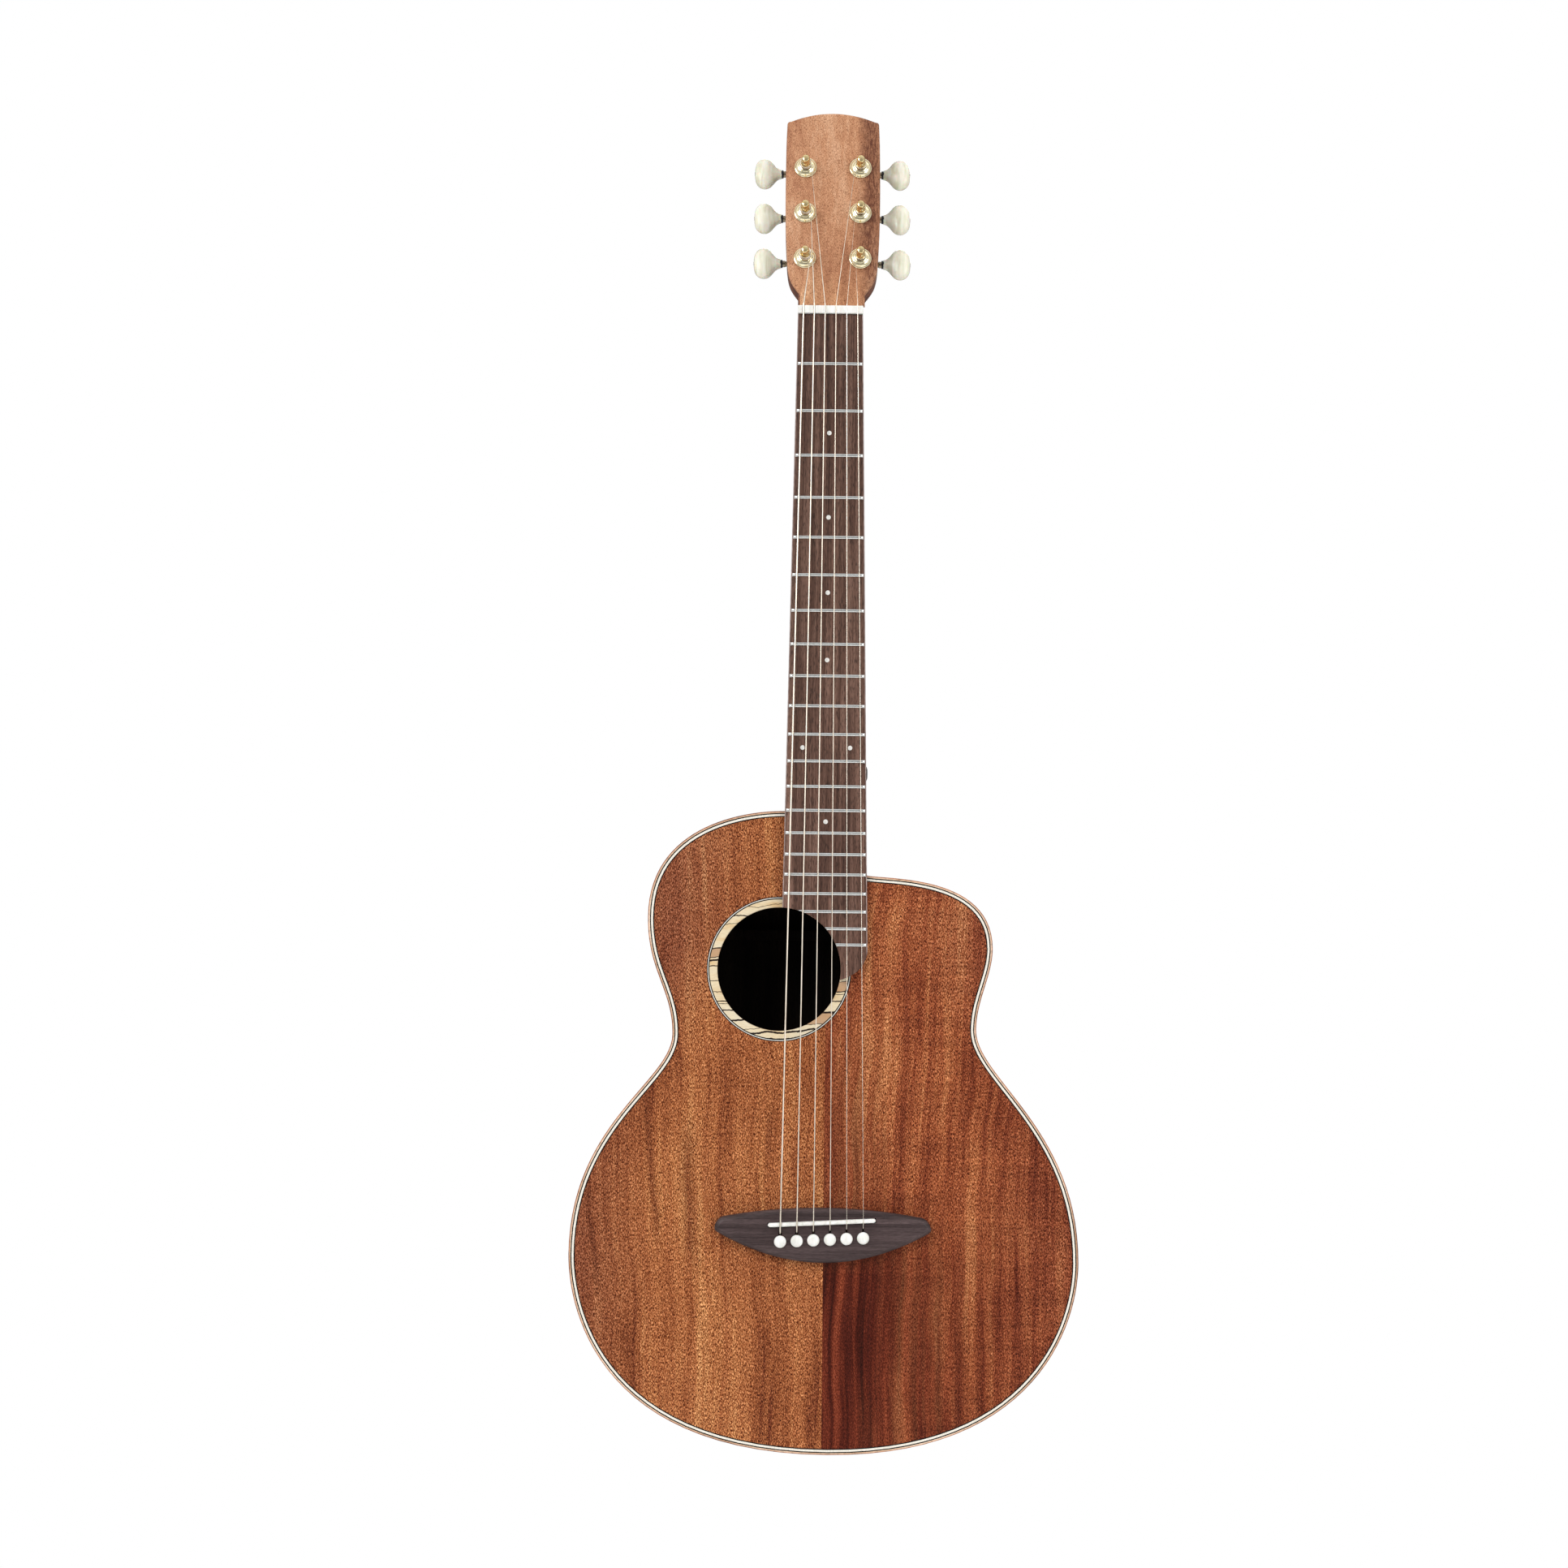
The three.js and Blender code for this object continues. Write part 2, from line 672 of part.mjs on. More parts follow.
function addBraces() {
  const room = slab(rimPlate(liningInner + glue), 0, deeperThanBody);
  const front = soundboardBack;
  const back = soundboardBack + braceHeight;
  const middle = (front + back) / 2;
  const reach = bodyLength;
  const lean = radians(crossBraceAngle);
  const along = [reach * Math.sin(lean), reach * Math.cos(lean)];
  const lap = braceWidth + 2 * glue;
  const end = (x, y) => [crossBraceShift + x * along[0], crossPlace + y * along[1]];
  const bassBar = brace(end(-1, 1), end(1, -1), front, back);
  const trebleBar = brace(end(1, 1), end(-1, -1), front, back);
  const bassLap = brace(end(-1, 1), end(1, -1), middle - glue, back + overrun, lap);
  const trebleLap = brace(end(1, 1), end(-1, -1), front - overrun, middle, lap);
  add("x_brace_bass", cut(common(bassBar, room), trebleLap), spruce);
  add("x_brace_treble", cut(common(trebleBar, room), bassLap), spruce);

  // The upper brace is notched over the truss rod's nut.
  const upper = jointPlace - upperBraceDrop;
  const half = upperBraceNotchHalfWidth;
  const notchEnd = front + upperBraceNotchDepth;
  const notch = box(-half, half, 0, notchEnd, upper - braceWidth, upper + braceWidth);
  const upperBar = brace([-reach, upper], [reach, upper], front, back);
  add("upper_brace", cut(common(upperBar, room), notch), spruce);

  const drops = { upper: backBraceUpperDrop, middle: backBraceMiddleDrop, lower: backBraceLowerDrop };
  for (const [name, drop] of Object.entries(drops)) {
    const level = jointPlace - drop;
    const inside = (w) => backPlateFront(w) - braceHeight;
    const backBar = brace([-reach, level], [reach, level], inside, backPlateFront);
    add(`back_brace_${name}`, common(backBar, room), spruce);
  }
}

// The plate under the bridge fills the space between the lower arms of the X.
function addBridgePlate() {
  const bottom = bridgePlateTop - bridgePlateHeight;
  const back = soundboardBack + bridgePlateThickness;
  const half = bridgePlateHalfWidth;
  const plate = box(-half, half, soundboardBack, back, bottom, bridgePlateTop);
  const lean = radians(crossBraceAngle);
  const fork = crossPlace - (braceWidth / 2 + glue) / Math.sin(lean);
  const spread = bodyLength * Math.tan(lean);
  const arms = [
    [crossBraceShift, fork],
    [crossBraceShift + spread, fork - bodyLength],
    [crossBraceShift - spread, fork - bodyLength],
  ];
  const room = slab(arms, 0, back + overrun);
  const holes = pinHoles(soundboardBack - overrun, back + overrun);
  add("bridge_plate", cut(common(plate, room), ...holes), maple);
}

// Bridge and saddle

function bridgeOutline() {
  const top = saddlePlace + bridgeAboveSaddle;
  const low = top - bridgeEndDrop;
  const shape = new THREE.Shape();
  shape.moveTo(bridgeShift - bridgeHalfWidth, low);
  shape.quadraticCurveTo(bridgeShift, low - 2 * bridgeLowerBulge, bridgeShift + bridgeHalfWidth, low);
  const bow = (bridgeHalfWidth + bridgeUpperHalfWidth) / 2 + 2 * bridgeEndBulge;
  const middle = (low + top) / 2;
  shape.quadraticCurveTo(bridgeShift + bow, middle, bridgeShift + bridgeUpperHalfWidth, top);
  shape.quadraticCurveTo(bridgeShift, top + 2 * bridgeUpperBulge, bridgeShift - bridgeUpperHalfWidth, top);
  shape.quadraticCurveTo(bridgeShift - bow, middle, bridgeShift - bridgeHalfWidth, low);
  return shape.getPoints(roundSides).map((p) => [p.x, p.y]).slice(1);
}

// A box along the saddle, grown all round by a margin.
function saddleBar(front, back, margin) {
  const length = saddleLength / 2 + margin;
  const half = saddleThickness / 2 + margin;
  const shape = box(-length, length, front, back, -half, half);
  return shape.rotateY(-bridgeTurn).translate(0, 0, saddlePlace);
}

function addBridge() {
  const outline = bridgeOutline();
  const ring = (distance, y) => shifted(outline, distance, true).map(([x, z]) => point(x, y, z));
  const top = glue + bridgeThickness;
  const body = loft([ring(0, -glue), ring(0, bridgeBevelHeight - top), ring(bridgeBevelWidth, -top)]);
  const slot = saddleBar(-top - overrun, saddleSlotDepth - top, glue);
  add("bridge", cut(body, slot, ...pinHoles(-top - overrun, 0)), rosewood);
  const saddleTop = stringHeightAtSaddle - stringClearance;
  add("saddle", saddleBar(-saddleTop, saddleSlotDepth - top - glue, 0), ivory);
}

function addPins() {
  const top = glue + bridgeThickness;
  const front = -top - glue - pinHeadHeight;
  const back = front + pinLength;
  const profile = [
    [0, front],
    [pinHeadRadius / 2, front],
    [pinHeadRadius, front + pinHeadHeight / 2],
    [pinHeadRadius, -top - glue],
    [pinRadius, -top - glue],
    [pinRadius, 0],
    [pinRadius / 2, back],
    [0, back],
  ];
  strings.forEach(({ name }, i) => {
    const [x, z] = pinPoint(i);
    add(`bridge_pin_${name}`, turned(profile).translate(x, 0, z), ivory);
  });
}

// The neck's own frame for the headstock: x across it, z up its face, y from the headplate's face to its back
const headstock = new THREE.Group();
headstock.position.set(headstockShift, -headstockDrop, nutThickness + glue);
headstock.rotation.x = -radians(headstockAngle);
headstock.updateMatrixWorld();
guitar.add(headstock);
const toGuitar = (x, y, z) => point(x, y, z).applyMatrix4(headstock.matrixWorld);

// The headstock's outline from a height above its foot.
function headstockOutline(foot) {
  const half = headstockWidth / 2;
  const top = half * headstockTopShare;
  const side = [
    new THREE.Vector2(nutWidth / 2, throatLength),
    new THREE.Vector2(flareWidth / 2, flareLength),
    ...headstockSideShares.map(([z, x]) => new THREE.Vector2(x * half, z * headstockLength)),
    new THREE.Vector2(top, headstockLength - topCornerRadius),
  ];
  const flank = new THREE.SplineCurve(side).getPoints(roundSides).map((p) => [p.x, p.y]);
  const crown = new THREE.QuadraticBezierCurve(
    new THREE.Vector2(top - topCornerRadius, headstockLength),
    new THREE.Vector2(0, headstockLength + 2 * headstockCrownRise),
    new THREE.Vector2(topCornerRadius - top, headstockLength),
  ).getPoints(coarseSides);
  const mirrored = flank.map(([x, z]) => [-x, z]).reverse();
  const feet = foot < throatLength ? [[nutWidth / 2, foot]] : [];
  const otherFeet = feet.map(([x, z]) => [-x, z]);
  return [...feet, ...flank, ...crown.map((p) => [p.x, p.y]), ...mirrored, ...otherFeet];
}

function tunerPlaces() {
  return strings.map(({ side, row }) => [(side * postSpread) / 2, firstPostRise + row * postPitch]);
}

function addHeadplate() {
  const holes = tunerPlaces().map(([x, z]) => {
    return bar(point(x, -overrun, z), point(x, headplateBack, z), barrelRadius + glue);
  });
  const plate = slab(headstockOutline(headplateStart), 0, headplateThickness);
  add("headplate", cut(plate, ...holes), koa, headstock);
}

function neckShaft() {
  const ring = (z, depth) => {
    return halfSection(halfWidthAt(z), depth, roundSquareness).map(([x, y]) => point(x, y, z));
  };
  const headRing = (z, depth, squareness) => {
    const section = halfSection(nutWidth / 2, depth - headplateBack, squareness);
    return section.map(([x, y]) => toGuitar(x - headstockShift, y + headplateBack, z));
  };
  const blend = (2 * roundSquareness + boxSquareness) / 3;
  return loft([
    ring(jointPlace, neckDepthAtHeel),
    ring(fretPlace(jointFret / 2), (neckDepthAtNut + neckDepthAtHeel) / 2),
    ring(-nutThickness, neckDepthAtNut),
    headRing(0, headstockBack, blend),
    headRing(throatLength, headstockBack, boxSquareness),
    headRing(throatLength + overrun, headstockBack, boxSquareness),
  ]);
}

const heelEnd = backAt(jointPlace) - heelCapThickness - glue;

function heelSection(share, length, width) {
  const top = neckDepthAtHeel / 2;
  const y = top + share * (heelEnd - top);
  const reach = heelLengthAtCap + length * (heelLengthAtTop - heelLengthAtCap);
  const half = heelHalfWidthAtCap + width * (heelHalfWidthAtTop - heelHalfWidthAtCap);
  return halfSection(half, reach, roundSquareness).map(([x, z]) => point(x, y, jointPlace + z));
}

function strapButtonAxis(x) {
  return point(x, strapButtonDepth, jointPlace + strapButtonRise);
}

function addNeck() {
  const wood = slab(headstockOutline(throatLength), headplateBack, headstockBack);
  const head = solidOf(wood.applyMatrix4(headstock.matrixWorld));
  const heel = loft(heelShares.map((row) => heelSection(...row)));
  const holes = tunerPlaces().map(([x, z]) => {
    return bar(toGuitar(x, 0, z), toGuitar(x, headstockBack + overrun, z), barrelRadius + glue);
  });
  const rodHalf = trussRodRadius + glue;
  const channelBack = trussRodDepth + rodHalf;
  const channel = box(-rodHalf, rodHalf, -overrun, channelBack, jointPlace - overrun, glue - trussRodStart);
  const seat = strapButtonSeat - glue;
  const spotFace = bar(
    strapButtonAxis(seat),
    strapButtonAxis(heelHalfWidthAtTop),
    strapButtonRadius + running,
  );
  const screwEnd = strapButtonAxis(seat - strapScrewLength);
  const screwHole = bar(screwEnd, strapButtonAxis(strapButtonSeat), strapScrewRadius + glue, coarseSides);
  add("neck", cut(join(neckShaft(), head, heel), ...holes, channel, spotFace, screwHole), mahogany);
}

function addHeelCap() {
  const outline = halfSection(heelHalfWidthAtCap, heelLengthAtCap, roundSquareness);
  const placed = outline.map(([x, z]) => [x, jointPlace + z]);
  add("heel_cap", slab(placed, heelEnd + glue, heelEnd + glue + heelCapThickness), rosewood);
}

function addStrapButton() {
  const [flange, waistStart, waistEnd, rim] = strapButtonShares.map((share) => share * strapButtonLength);
  const profile = [
    [0, -strapScrewLength + glue],
    [strapScrewRadius, -strapScrewLength + glue],
    [strapScrewRadius, 0],
    [strapButtonRadius, 0],
    [strapButtonRadius, flange],
    [strapButtonWaist, waistStart],
    [strapButtonWaist, waistEnd],
    [strapButtonRadius, rim],
    [strapButtonRadius / 2, strapButtonLength],
    [0, strapButtonLength],
  ];
  const at = strapButtonAxis(strapButtonSeat);
  const button = turned(profile).rotateZ(-Math.PI / 2).translate(at.x, at.y, at.z);
  add("heel_strap_button", button, blackMetal);
}

function addTrussRod() {
  const from = point(0, trussRodDepth, -trussRodStart);
  const to = point(0, trussRodDepth, trussRodEnd);
  add("truss_rod", bar(from, to, trussRodRadius), steel);

  const top = bodyTop - neckBlockLength - running;
  const bottom = top - trussNutLength;
  const web = bottom + trussSocketDepth;
  const axis = (z) => point(0, trussRodDepth, z);
  const barrel = bar(axis(top), axis(bottom), trussNutRadius);
  const bore = bar(axis(top + overrun), axis(trussRodEnd - running), trussRodRadius + running);
  const socket = bar(axis(web), axis(bottom - overrun), trussSocketRadius, coarseSides);
  add("truss_nut", cut(barrel, bore, socket), steel);
}

// A crowned slice of the fretboard between two places, raised by a height.
function crownedSlice(from, to, height) {
  const ring = (z) => {
    const half = halfWidthAt(z);
    const flat = [point(half, -glue, z), point(-half, -glue, z)];
    const crown = Array.from({ length: crownSteps + 1 }, (_, i) => {
      const x = half * ((2 * i) / crownSteps - 1);
      const sag = fretboardCrown - Math.sqrt(fretboardCrown ** 2 - x ** 2);
      return point(x, sag - glue - fretboardThickness - height, z);
    });
    return [...flat, ...crown];
  };
  return loft([ring(from), ring(to)]);
}

function fretboardOutline(margin) {
  const end = soundholePlace + extensionShoulderRise;
  const edge = (z) => halfWidthAt(z) - margin;
  const curve = new THREE.QuadraticBezierCurve(
    new THREE.Vector2(edge(end), end),
    new THREE.Vector2(edge(end), soundholePlace - extensionCurveDrop + margin),
    new THREE.Vector2(soundholeRadius - soundholeShift - overrun, fretboardEnd + margin),
  ).getPoints(coarseSides);
  return [
    [edge(0), -glue],
    [-edge(0), -glue],
    [-edge(soundholePlace), soundholePlace],
    [-soundholeShift + soundholeRadius / 2, fretboardEnd + margin],
    ...curve.toReversed().map((p) => [p.x, p.y]),
  ];
}

function addFretboard() {
  const deep = fretboardThickness + fretHeight + overrun;
  const plan = (margin) => slab(fretboardOutline(margin), -deep - glue, 0);
  const board = common(crownedSlice(-glue, fretboardEnd - overrun, 0), plan(0));
  const bars = Array.from({ length: fretCount }, (_, i) => {
    const z = fretPlace(i + 1);
    return crownedSlice(z + fretWidth / 2, z - fretWidth / 2, fretHeight);
  });
  const frets = common(join(...bars), plan(fretEndInset));
  const hole = circle(-soundholeShift, soundholePlace, soundholeRadius, holeSides);
  add("fretboard", cut(join(board, frets), slab(hole, -deep - overrun, overrun)), rosewood);
}

function addNut() {
  const half = nutWidth / 2;
  const body = box(-half, half, -nutHeight - glue, -glue, 0, nutThickness);
  const bottom = nutSlotDepth - nutHeight - glue;
  const slots = strings.map(({ gauge }, i) => {
    const x = stringX(stringSpreadAtNut, i);
    const width = (gauge + slotPlay) / 2;
    const front = -nutHeight - overrun - glue;
    return box(x - width, x + width, front, bottom, -overrun, nutThickness + overrun);
  });
  add("nut", cut(body, ...slots), ivory);
}

// Tuning machines

function tunerBase() {
  const lip = bushingRadius - boreRadius;
  const dome = bushingShares.map(([r, y]) => [bushingRadius - r * lip, -glue - y * bushingHeight]);
  const profile = [
    [boreRadius, tunerPlateBack],
    [boreRadius, -glue - bushingHeight],
    ...dome.toReversed(),
    [bushingRadius, -glue - bushingLip],
    [bushingRadius, -glue],
    [barrelRadius, -glue],
    [barrelRadius, tunerPlateBack],
    [boreRadius, tunerPlateBack],
  ];
  const foot = -tunerPlateFoot;
  const wide = tunerPlateHalfWidth;
  const plate = box(-wide, wide, tunerPlateFront, tunerPlateBack, foot, tunerPlateHead);
  const bore = bar(
    point(0, tunerPlateFront - overrun, 0),
    point(0, tunerPlateBack + overrun, 0),
    (boreRadius + barrelRadius) / 2,
    tunerSides,
  );
  const screws = [-1, 1].map((side) => {
    const x = side * (wide - tunerScrewInset);
    const z = foot + tunerScrewInset;
    const back = tunerPlateBack + tunerScrewHeight;
    return bar(point(x, tunerPlateFront + glue, z), point(x, back, z), tunerScrewRadius, coarseSides);
  });
  const lugs = [-1, 1].map((side) => {
    const near = side * (wormLength / 2 + wormPitch / 2 + lugGap);
    const far = near + side * lugThickness;
    const back = wormDepth + lugReach;
    const low = wormRise - lugHalfWidth;
    const high = wormRise + lugHalfWidth;
    return box(Math.min(near, far), Math.max(near, far), tunerPlateFront + glue, back, low, high);
  });
  const shaftHole = bar(
    point(-wide, wormDepth, wormRise),
    point(wide, wormDepth, wormRise),
    shaftRadius + running,
    tunerSides,
  );
  return cut(join(turned(profile, tunerSides), cut(plate, bore), ...screws, ...lugs), shaftHole);
}

// The worm's thread, centred on the origin along x, with a crest that faces -z in its middle.
function wormThread() {
  const steps = Math.round(wormTurns * threadSteps);
  const rings = Array.from({ length: steps + 1 }, (_, i) => {
    const turns = (i / steps - 1 / 2) * wormTurns;
    const angle = turns * 2 * Math.PI;
    const x = turns * wormPitch;
    const half = wormThreadWidth / 2;
    const at = (dx, r) => point(x + dx, -r * Math.sin(angle), -r * Math.cos(angle));
    const crest = wormRootRadius + wormThreadHeight;
    const root = wormRootRadius / 2;
    return [at(-half, root), at(-half / 2, crest), at(half / 2, crest), at(half, root)];
  });
  return loft(rings);
}

function tunerButton() {
  const rings = buttonShares.map(([place, width, thickness]) => {
    const x = buttonStart + place * buttonLength;
    return Array.from({ length: roundSides }, (_, i) => {
      const angle = (2 * Math.PI * i) / roundSides;
      const y = wormDepth + thickness * buttonHalfThickness * Math.sin(angle);
      return point(x, y, wormRise + width * buttonHalfWidth * Math.cos(angle));
    });
  });
  return loft(rings);
}

function tunerKey() {
  const axis = (x) => point(x, wormDepth, wormRise);
  const lugOuter = wormLength / 2 + wormPitch / 2 + lugGap + lugThickness;
  const length = (from, to, radius) => bar(axis(from), axis(to), radius, tunerSides);
  const shaft = length(-lugOuter - running, buttonStart + collarLength, shaftRadius);
  const sleeve = length(lugOuter + running, buttonStart - collarLength / 2, sleeveRadius);
  const collar = length(buttonStart - collarLength, buttonStart + collarLength, collarRadius);
  const thread = wormThread().translate(0, wormDepth, wormRise);
  return join(shaft, sleeve, collar, thread, tunerButton());
}

// The wheel's outline, with a gap between two teeth facing +z.
function wheelOutline() {
  const pitch = (2 * Math.PI) / wheelTeeth;
  const shares = [-0.3, -0.15, 0.15, 0.3];
  return Array.from({ length: wheelTeeth }, (_, tooth) => {
    return shares.map((share) => {
      const angle = Math.PI / 2 + (tooth + 1 / 2 + share) * pitch;
      const radius = Math.abs(share) < 0.2 ? wheelTipRadius : wheelRootRadius;
      return [radius * Math.cos(angle), radius * Math.sin(angle)];
    });
  }).flat();
}

function tunerPost() {
  const tip = -postTipHeight;
  const neckline = tip + postHeadLength;
  const collar = (postRadius + wheelRootRadius) / 2;
  const back = wheelFront + wheelThickness + wheelScrewHeight;
  const profile = [
    [0, back],
    [postRadius, back],
    [postRadius, wheelFront],
    [collar, wheelFront],
    [collar, tunerPlateBack + running],
    [postRadius, tunerPlateBack + running],
    [postRadius, neckline + postWaistRadius],
    [postWaistRadius, neckline + postWaistRadius / 2],
    [postWaistRadius, neckline],
    [postRadius, neckline - postWaistRadius / 2],
    [postRadius, tip + postWaistRadius / 2],
    [postWaistRadius, tip],
    [0, tip],
  ];
  const wheel = slab(wheelOutline(), wheelFront, wheelFront + wheelThickness);
  const holeLevel = neckline + postWaistRadius + stringHoleRadius;
  const reach = postRadius + overrun;
  const hole = bar(point(-reach, holeLevel, 0), point(reach, holeLevel, 0), stringHoleRadius, coarseSides);
  return cut(join(turned(profile, tunerSides), wheel), hole);
}

function addTuners() {
  const places = tunerPlaces();
  strings.forEach(({ name, side }, i) => {
    const machine = new THREE.Group();
    machine.position.set(places[i][0], 0, places[i][1]);
    machine.scale.x = side;
    headstock.add(machine);
    add(`tuner_base_${name}`, tunerBase(), gold, machine);
    add(`tuner_key_${name}`, tunerKey(), pearl, machine);
    add(`tuner_post_${name}`, tunerPost(), gold, machine);
  });
}

// Strings

// Where a line from a [x, z] place touches a circle, on the side towards the headstock's middle.
function touching([fromX, fromZ], [x, z], radius, side) {
  const distance = Math.hypot(x - fromX, z - fromZ);
  const heading = Math.atan2(fromZ - z, fromX - x);
  return heading + side * Math.acos(radius / distance);
}

function stringPoints({ gauge, side }, i, place) {
  const radius = gauge / 2;
  const [pinX, pinZ] = pinPoint(i);
  const bridgeTop = -glue - bridgeThickness;
  const rise = pinSlotReach - slotPlay / 2 - radius;
  const saddleX = stringX(stringSpreadAtPins, i);
  const saddleBack = saddlePlace - saddleThickness / 2 - glue + saddleX * Math.tan(bridgeTurn);
  const nutX = stringX(stringSpreadAtNut, i);
  const points = [
    point(pinX, stringAnchorDepth, pinZ + rise),
    point(pinX, bridgeTop - radius, pinZ + rise),
    point(saddleX, -stringHeightAtSaddle - radius, saddleBack),
    point(nutX, -stringHeightAtNut - radius, 0),
    point(nutX, -stringHeightAtNut - radius, nutThickness),
  ];
  const nutPoint = points.at(-1).clone().applyMatrix4(headstock.matrixWorld.clone().invert());
  const coil = (postRadius + stringClearance + radius) / Math.cos(Math.PI / windingSteps);
  const start = touching([nutPoint.x, nutPoint.z], place, coil, -side);
  const steps = windingTurns * windingSteps;
  for (let k = 0; k <= steps; k++) {
    const angle = start + side * ((2 * Math.PI * k) / windingSteps);
    const climb = windingHeight + radius + ((gauge + windingGap) * k) / windingSteps;
    const x = place[0] + coil * Math.cos(angle);
    const z = place[1] + coil * Math.sin(angle);
    points.push(toGuitar(x, -climb, z));
  }
  return points;
}

// The least gap between turns of the string on its post.
function windingLeastGap(points, gauge) {
  const winding = points.slice(-windingTurns * windingSteps - 1);
  let least = Infinity;
  winding.forEach((p, i) => {
    winding.slice(i + windingSteps / 2).forEach((q) => {
      least = Math.min(least, p.distanceTo(q) - gauge);
    });
  });
  return least;
}

function addStrings() {
  const places = tunerPlaces();
  strings.forEach((string, i) => {
    const points = stringPoints(string, i, places[i]);
    add(`string_${string.name}`, tube(points, string.gauge / 2, stringSides), steel);
    const gap = windingLeastGap(points, string.gauge);
    console.log(`string_${string.name}: least gap between its turns ${gap.toFixed(2)} mm`);
  });
}

addSoundboard();
addRim();
addLinings();
addBlocks();
addBraces();
addBridgePlate();
addBridge();
addPins();
addNeck();
addHeadplate();
addHeelCap();
addStrapButton();
addTrussRod();
addFretboard();
addNut();
addTuners();
addStrings();

export default guitar;
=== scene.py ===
import math
import bmesh
import bpy
from mathutils import Matrix, Vector
from mathutils.geometry import tessellate_polygon


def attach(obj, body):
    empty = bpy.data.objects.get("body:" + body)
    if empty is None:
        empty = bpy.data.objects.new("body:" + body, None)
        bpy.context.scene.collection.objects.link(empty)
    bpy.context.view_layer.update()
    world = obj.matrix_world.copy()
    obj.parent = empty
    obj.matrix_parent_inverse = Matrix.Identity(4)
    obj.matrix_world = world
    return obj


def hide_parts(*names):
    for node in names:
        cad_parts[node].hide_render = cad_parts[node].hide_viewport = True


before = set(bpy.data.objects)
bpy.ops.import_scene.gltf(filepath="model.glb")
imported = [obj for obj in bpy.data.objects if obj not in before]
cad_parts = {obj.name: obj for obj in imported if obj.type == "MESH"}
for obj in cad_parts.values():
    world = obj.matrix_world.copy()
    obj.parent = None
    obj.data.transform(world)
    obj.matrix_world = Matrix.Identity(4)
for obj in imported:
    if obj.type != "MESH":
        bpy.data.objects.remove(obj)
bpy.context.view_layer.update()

# A travel guitar: its fine forms, its finishes and its studio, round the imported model

MM = 0.001  # metres in a millimetre

# Sizes in millimetres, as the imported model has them
GLUE = 0.3  # between pieces that are glued or pressed together
RUNNING = 0.3  # between pieces that turn in each other
OVERRUN = 1  # how far a cutting tool passes the piece it cuts
SCALE_LENGTH = 610
STRING_SPREAD_AT_NUT = 36.9
STRING_SPREAD_AT_PINS = 55.4
STRING_HEIGHT_AT_NUT = 7.9
STRING_HEIGHT_AT_SADDLE = 11.8
STRING_CLEARANCE = 0.3
STRING_BEND = 1.5  # how far from a corner its bend starts
SADDLE_SETBACK = 4.2
NUT_WIDTH = 44.4
WIDTH_AT_TWELFTH = 54
FRETBOARD_THICKNESS = 6
FRETBOARD_CROWN = 400
FRETBOARD_EDGE = 0.6  # the rounding of its long edges
FRET_HEIGHT = 1
FRET_WIDTH = 2.2
FRET_END_INSET = 0.8
FRET_END_ROUND = 1.4
DOT_RADIUS = 1.55
DOT_PROUD = 0.04
DOT_DEPTH = 1
DOUBLE_DOT_REACH = 16
EXTENSION_SHOULDER_RISE = 14.5
EXTENSION_CURVE_DROP = 1.6
EXTENSION_TIP_DROP = 7
NUT_THICKNESS = 5.5
NUT_HEIGHT = 8.2
NUT_ROUNDING = 0.9
NUT_FRONT_ROUNDING = 0.54
NECK_DEPTH_AT_NUT = 14
NECK_DEPTH_AT_HEEL = 16.5
HEEL_LENGTH_AT_TOP = 64
HEEL_LENGTH_AT_CAP = 21
HEEL_HALF_WIDTH_AT_TOP = 26
HEEL_HALF_WIDTH_AT_CAP = 14.5
HEEL_CAP_THICKNESS = 2.4
HEEL_BLEND_REACH = 26  # how far the shaft and the heel run into each other
HEADSTOCK_SHIFT = 1.2
HEADSTOCK_DROP = 2
HEADSTOCK_LENGTH = 141
HEADSTOCK_CROWN_RISE = 6.5
HEADSTOCK_WIDTH = 65.2
HEADSTOCK_THICKNESS = 13
HEADPLATE_THICKNESS = 1.8
HEADPLATE_START = 0.6
THROAT_LENGTH = 9
FLARE_LENGTH = 22
FLARE_WIDTH = 59.2
TOP_CORNER_RADIUS = 2.5
EDGE_ROUNDING = 0.6
BACK_EDGE_ROUNDING = 1.6
STRAP_BUTTON_RISE = 27.3
STRAP_BUTTON_DEPTH = 35
STRAP_BUTTON_SEAT = 17.6
STRAP_BUTTON_RADIUS = 6.2
STRAP_BUTTON_LENGTH = 11.4
STRAP_SCREW_RADIUS = 2.2
STRAP_FOOT_RADIUS = 5.4  # a cone under the flange, down to the curved heel
STRAP_FOOT_END_RADIUS = 2.5
STRAP_FOOT_LENGTH = 10.5
UPPER_BOUT_BASS_REACH = 119.2
UPPER_BOUT_BASS_DROP = 72.5
WAIST_BASS_REACH = 101.7
WAIST_BASS_DROP = 151.6
LOWER_BOUT_BASS_REACH = 169.6
LOWER_BOUT_BASS_DROP = 299.3
TAIL_SHIFT = 4.8
BODY_LENGTH = 431
LOWER_BOUT_TREBLE_REACH = 172.6
LOWER_BOUT_TREBLE_DROP = 302.3
WAIST_TREBLE_REACH = 102.9
WAIST_TREBLE_DROP = 146.8
UPPER_BOUT_TREBLE_REACH = 113.7
UPPER_BOUT_TREBLE_DROP = 92.2
CUTAWAY_DROP = 43.3
CUTAWAY_INSET = 0.2
BODY_DEPTH_AT_NECK = 78
BODY_DEPTH_AT_TAIL = 92
SIDE_THICKNESS = 2.2
PLATE_THICKNESS = 2.8
BINDING_WIDTH = 1.4
BINDING_HEIGHT = 6
BINDING_ROUNDING = 1
BLACK_LINE = 0.75
WHITE_LINE = 1.35
PURFLING_DEPTH = 1.4
